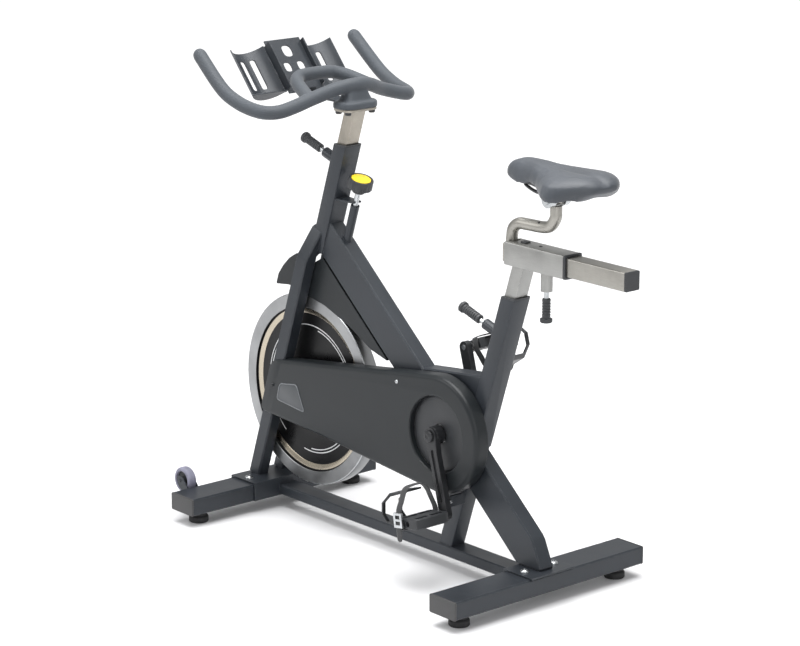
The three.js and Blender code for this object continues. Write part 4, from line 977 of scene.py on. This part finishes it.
# ---------------------------------------------------------------- pedals
def strap_path(low, high):
    """Closed line of a toe strap round a pedal, in the pedal's own across/up plane (millimetres)."""
    middle, half = (low + high) / 2, (high - low) / 2
    right = [(0, -15.5), (half * 0.9, -14.5), (half + 3, -8), (half + 5, 12),
             (half - 3, 40), (26, 70), (0, 76)]
    left = [(-across, up) for across, up in reversed(right[1:-1])]
    return [Vector((middle + across, up)) for across, up in (*left[-2:], *right, *left[:-2])]


def pedal_straps():
    """Webbing straps: a soft arch over the instep, edges rolled, and a loose tail under the buckle."""
    for hand, sign in (("left", 1), ("right", -1)):
        strap = f"pedal_strap_{hand}"
        turn = Matrix.Rotation(math.radians(PEDAL_PITCH[hand]), 4, "X")
        place = Matrix.Translation(JOINTS[f"pedal_{hand}_spin"]["pos_m"]) @ turn
        low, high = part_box(f"pedal_{hand}")
        loop = strap_path(low.x / MM, high.x / MM)
        count = len(loop)
        dense = [spline(*(loop[(i + k) % count] for k in (-1, 0, 1, 2)), step / 6)
                 for i in range(count) for step in range(6)]
        mesh = bmesh.new()
        band(mesh, dense, place, True)
        outer = (high.x if sign > 0 else low.x) / MM + 5 * sign
        tail = [Vector((outer + out * sign, up)) for out, up in ((0, 8), (3, -8), (2, -24), (4, -40))]
        band(mesh, tail, place, False)
        made = piece(f"{strap}_webbing", mesh, BODY_OF[strap], "rubber", ["webbing"], 50)
        finer = made.modifiers.new("finer", "SUBSURF")
        finer.levels = finer.render_levels = 1
        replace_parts(made, strap)


def band(mesh, line, place, closed):
    """Adds a flat strap with rolled edges along a line in the local X-Z plane (millimetres)."""
    count = len(line)
    section = [(-9, 0), (-8.2, 1.2), (0, 1.35), (8.2, 1.2), (9, 0), (8.2, -1.2), (0, -1.35), (-8.2, -1.2)]
    rings = []
    for i, point in enumerate(line):
        before = line[i - 1] if closed or i else line[0]
        after = line[(i + 1) % count] if closed or i < count - 1 else line[-1]
        along = (after - before).normalized()
        out = Vector((-along.y, along.x))
        sway = 1.2 * math.sin(i * 0.7)
        rings.append([
            mesh.verts.new(place @ (Vector((point.x + out.x * w, -21 + v + sway, point.y + out.y * w)) * MM))
            for v, w in section
        ])
    skin_rings(mesh, rings, looped=closed, capped=not closed)


# ---------------------------------------------------------------- small fittings
def crank_caps():
    for hand, sign in (("left", 1), ("right", -1)):
        low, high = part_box("crank_spindle")
        centre = (low + high) / 2
        tip = high.x if sign > 0 else low.x
        place = turn_frame(Vector((tip - sign * 3 * MM, centre.y, centre.z)), X * sign)
        mesh = bmesh.new()
        solid_turn(mesh, [(13.4 * MM, 0), (13.4 * MM, 2.6 * MM), (12 * MM, 4.2 * MM), (8 * MM, 5.4 * MM),
                          (5 * MM, 5.6 * MM), (4.6 * MM, 4.4 * MM)], place, 48)
        piece(f"crank_cap_{hand}", mesh, "crankset", "black_steel")


def end_caps():
    """Moulded plugs in the open ends of both cross feet."""
    low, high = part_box("rear_stabiliser")
    half = (high - low) / 2
    outline = rounded_box_outline(half.y + 0.4 * MM, half.z + 0.4 * MM, 4 * MM)
    for row in ("front", "rear"):
        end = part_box(f"{row}_stabiliser")[1].x - 1 * MM
        middle_y = middle_of(f"levelling_foot_{row}_left").y
        mesh = bmesh.new()
        for sign in (1, -1):
            place = turn_frame(Vector((sign * end, middle_y, (low.z + high.z) / 2)), X * sign)
            prism(mesh, outline, place, 0, 4 * MM, 2 * MM, 4)
        piece(f"{row}_foot_end_caps", mesh, "frame", "dark_plastic", ["cap_plastic"])


def slide_fittings():
    """A set screw and a plug in the top of the slide housing."""
    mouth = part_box("slide_collar")
    screw = bmesh.new()
    place = turn_frame(Vector((0, mouth[0].y - 91 * MM, mouth[1].z - 0.5 * MM)), Z)
    solid_turn(screw, [(4.2 * MM, -2 * MM), (4.2 * MM, 0.5 * MM), (3.2 * MM, 1.2 * MM),
                       (1.5 * MM, 1.2 * MM), (1.3 * MM, 0)], place, 24)
    piece("slide_set_screw", screw, "saddle_post", "black_steel")
    plug = bmesh.new()
    place = upright_frame(0, mouth[0].y - 136 * MM, mouth[1].z - 1 * MM)
    prism(plug, rounded_box_outline(9 * MM, 8 * MM, 4 * MM), place, 0, 4 * MM, 1.2 * MM, 3)
    piece("slide_plug", plug, "saddle_post", "dark_plastic")


def lug_screw():
    """Silver screw on the black lug behind the crank."""
    crank = middle_of("crank_side_disc")
    mesh = bmesh.new()
    place = Matrix.Translation((58 * MM, crank.y + 47 * MM, crank.z - 139 * MM))
    solid_turn(mesh, [(5 * MM, -2 * MM), (5 * MM, 1.4 * MM), (3.8 * MM, 2.8 * MM), (1.8 * MM, 3 * MM),
                      (1.6 * MM, 1.6 * MM)], place, 28)
    piece("lug_screw", mesh, "frame", "zinc_steel")


# ---------------------------------------------------------------- stage
def camera():
    """The studio camera: behind the bike's left shoulder, on a long lens."""
    back = Vector((0.6368, 0.7289, 0.2514)).normalized()
    right = Vector((-back.y, back.x, 0)).normalized()
    up = back.cross(right)
    roll = math.radians(0.2)
    tilted_right = right * math.cos(roll) + up * math.sin(roll)
    tilted_up = up * math.cos(roll) - right * math.sin(roll)
    data = bpy.data.cameras.new("camera")
    data.lens = 127.64
    data.sensor_width = 36
    data.clip_end = 60
    made = bpy.data.objects.new("camera", data)
    turn = Matrix((tilted_right, tilted_up, back)).transposed().to_4x4()
    made.matrix_world = Matrix.Translation((3.964, 4.455, 2.084)) @ turn
    bpy.context.scene.collection.objects.link(made)
    bpy.context.scene.camera = made


def softbox(name, place, target, size, power):
    data = bpy.data.lights.new(name, "AREA")
    data.shape = "RECTANGLE"
    data.size, data.size_y = size
    data.energy = power
    made = bpy.data.objects.new(name, data)
    made.location = place
    made.rotation_mode = "QUATERNION"
    made.rotation_quaternion = (Vector(target) - Vector(place)).to_track_quat("-Z", "Y")
    bpy.context.scene.collection.objects.link(made)


def studio():
    mesh = bmesh.new()
    bmesh.ops.create_grid(mesh, x_segments=2, y_segments=2, size=14)
    data = bpy.data.meshes.new("floor")
    mesh.to_mesh(data)
    mesh.free()
    white = surface("floor", (0.83, 0.83, 0.84), (0.83, 0.83, 0.84), (0.6, 0.7), vary=0.01)
    tree = white.node_tree
    place = add(tree, "TexCoord", {}).outputs["Object"]
    out_from_bike = add(tree, "VectorMath", {0: place}, operation="LENGTH").outputs["Value"]
    glow = remap(tree, out_from_bike, 1.0, 5.0, 0, 0.55)
    tree.nodes["Principled BSDF"].inputs["Emission Color"].default_value = (1, 1, 1, 1)
    tree.links.new(glow, tree.nodes["Principled BSDF"].inputs["Emission Strength"])
    data.materials.append(white)
    floor = bpy.data.objects.new("floor", data)
    bpy.context.scene.collection.objects.link(floor)
    world = bpy.data.worlds.new("studio")
    world.use_nodes = True
    world.node_tree.nodes["Background"].inputs["Color"].default_value = (1, 1, 1, 1)
    seen = add(world.node_tree, "LightPath", {}).outputs["Is Camera Ray"]
    bright = remap(world.node_tree, seen, 0, 1, 0.6, 1)
    world.node_tree.links.new(bright, world.node_tree.nodes["Background"].inputs["Strength"])
    bpy.context.scene.world = world
    bpy.context.scene.view_settings.view_transform = "Standard"
    softbox("overhead", (0.1, 0.1, 3.4), (0, 0, 0.4), (2.8, 2.8), 185)
    softbox("key", (2.8, -1.8, 2.4), (0, 0, 0.5), (1.8, 1.8), 42)
    softbox("rear_fill", (1.6, 3.2, 1.6), (0, 0, 0.5), (1.6, 1.6), 22)


dress_cad_nodes()
turned_parts()
feet_and_bolts()
pull_pins()
knob()
flywheel()
flywheel_arcs()
drive_cover()
cover_details()
handlebar()
stem_bolts()
saddle_pad()
saddle_rails()
slide_bar()
neck_set_screw()
pedal_straps()
crank_caps()
end_caps()
slide_fittings()
lug_screw()
camera()
studio()
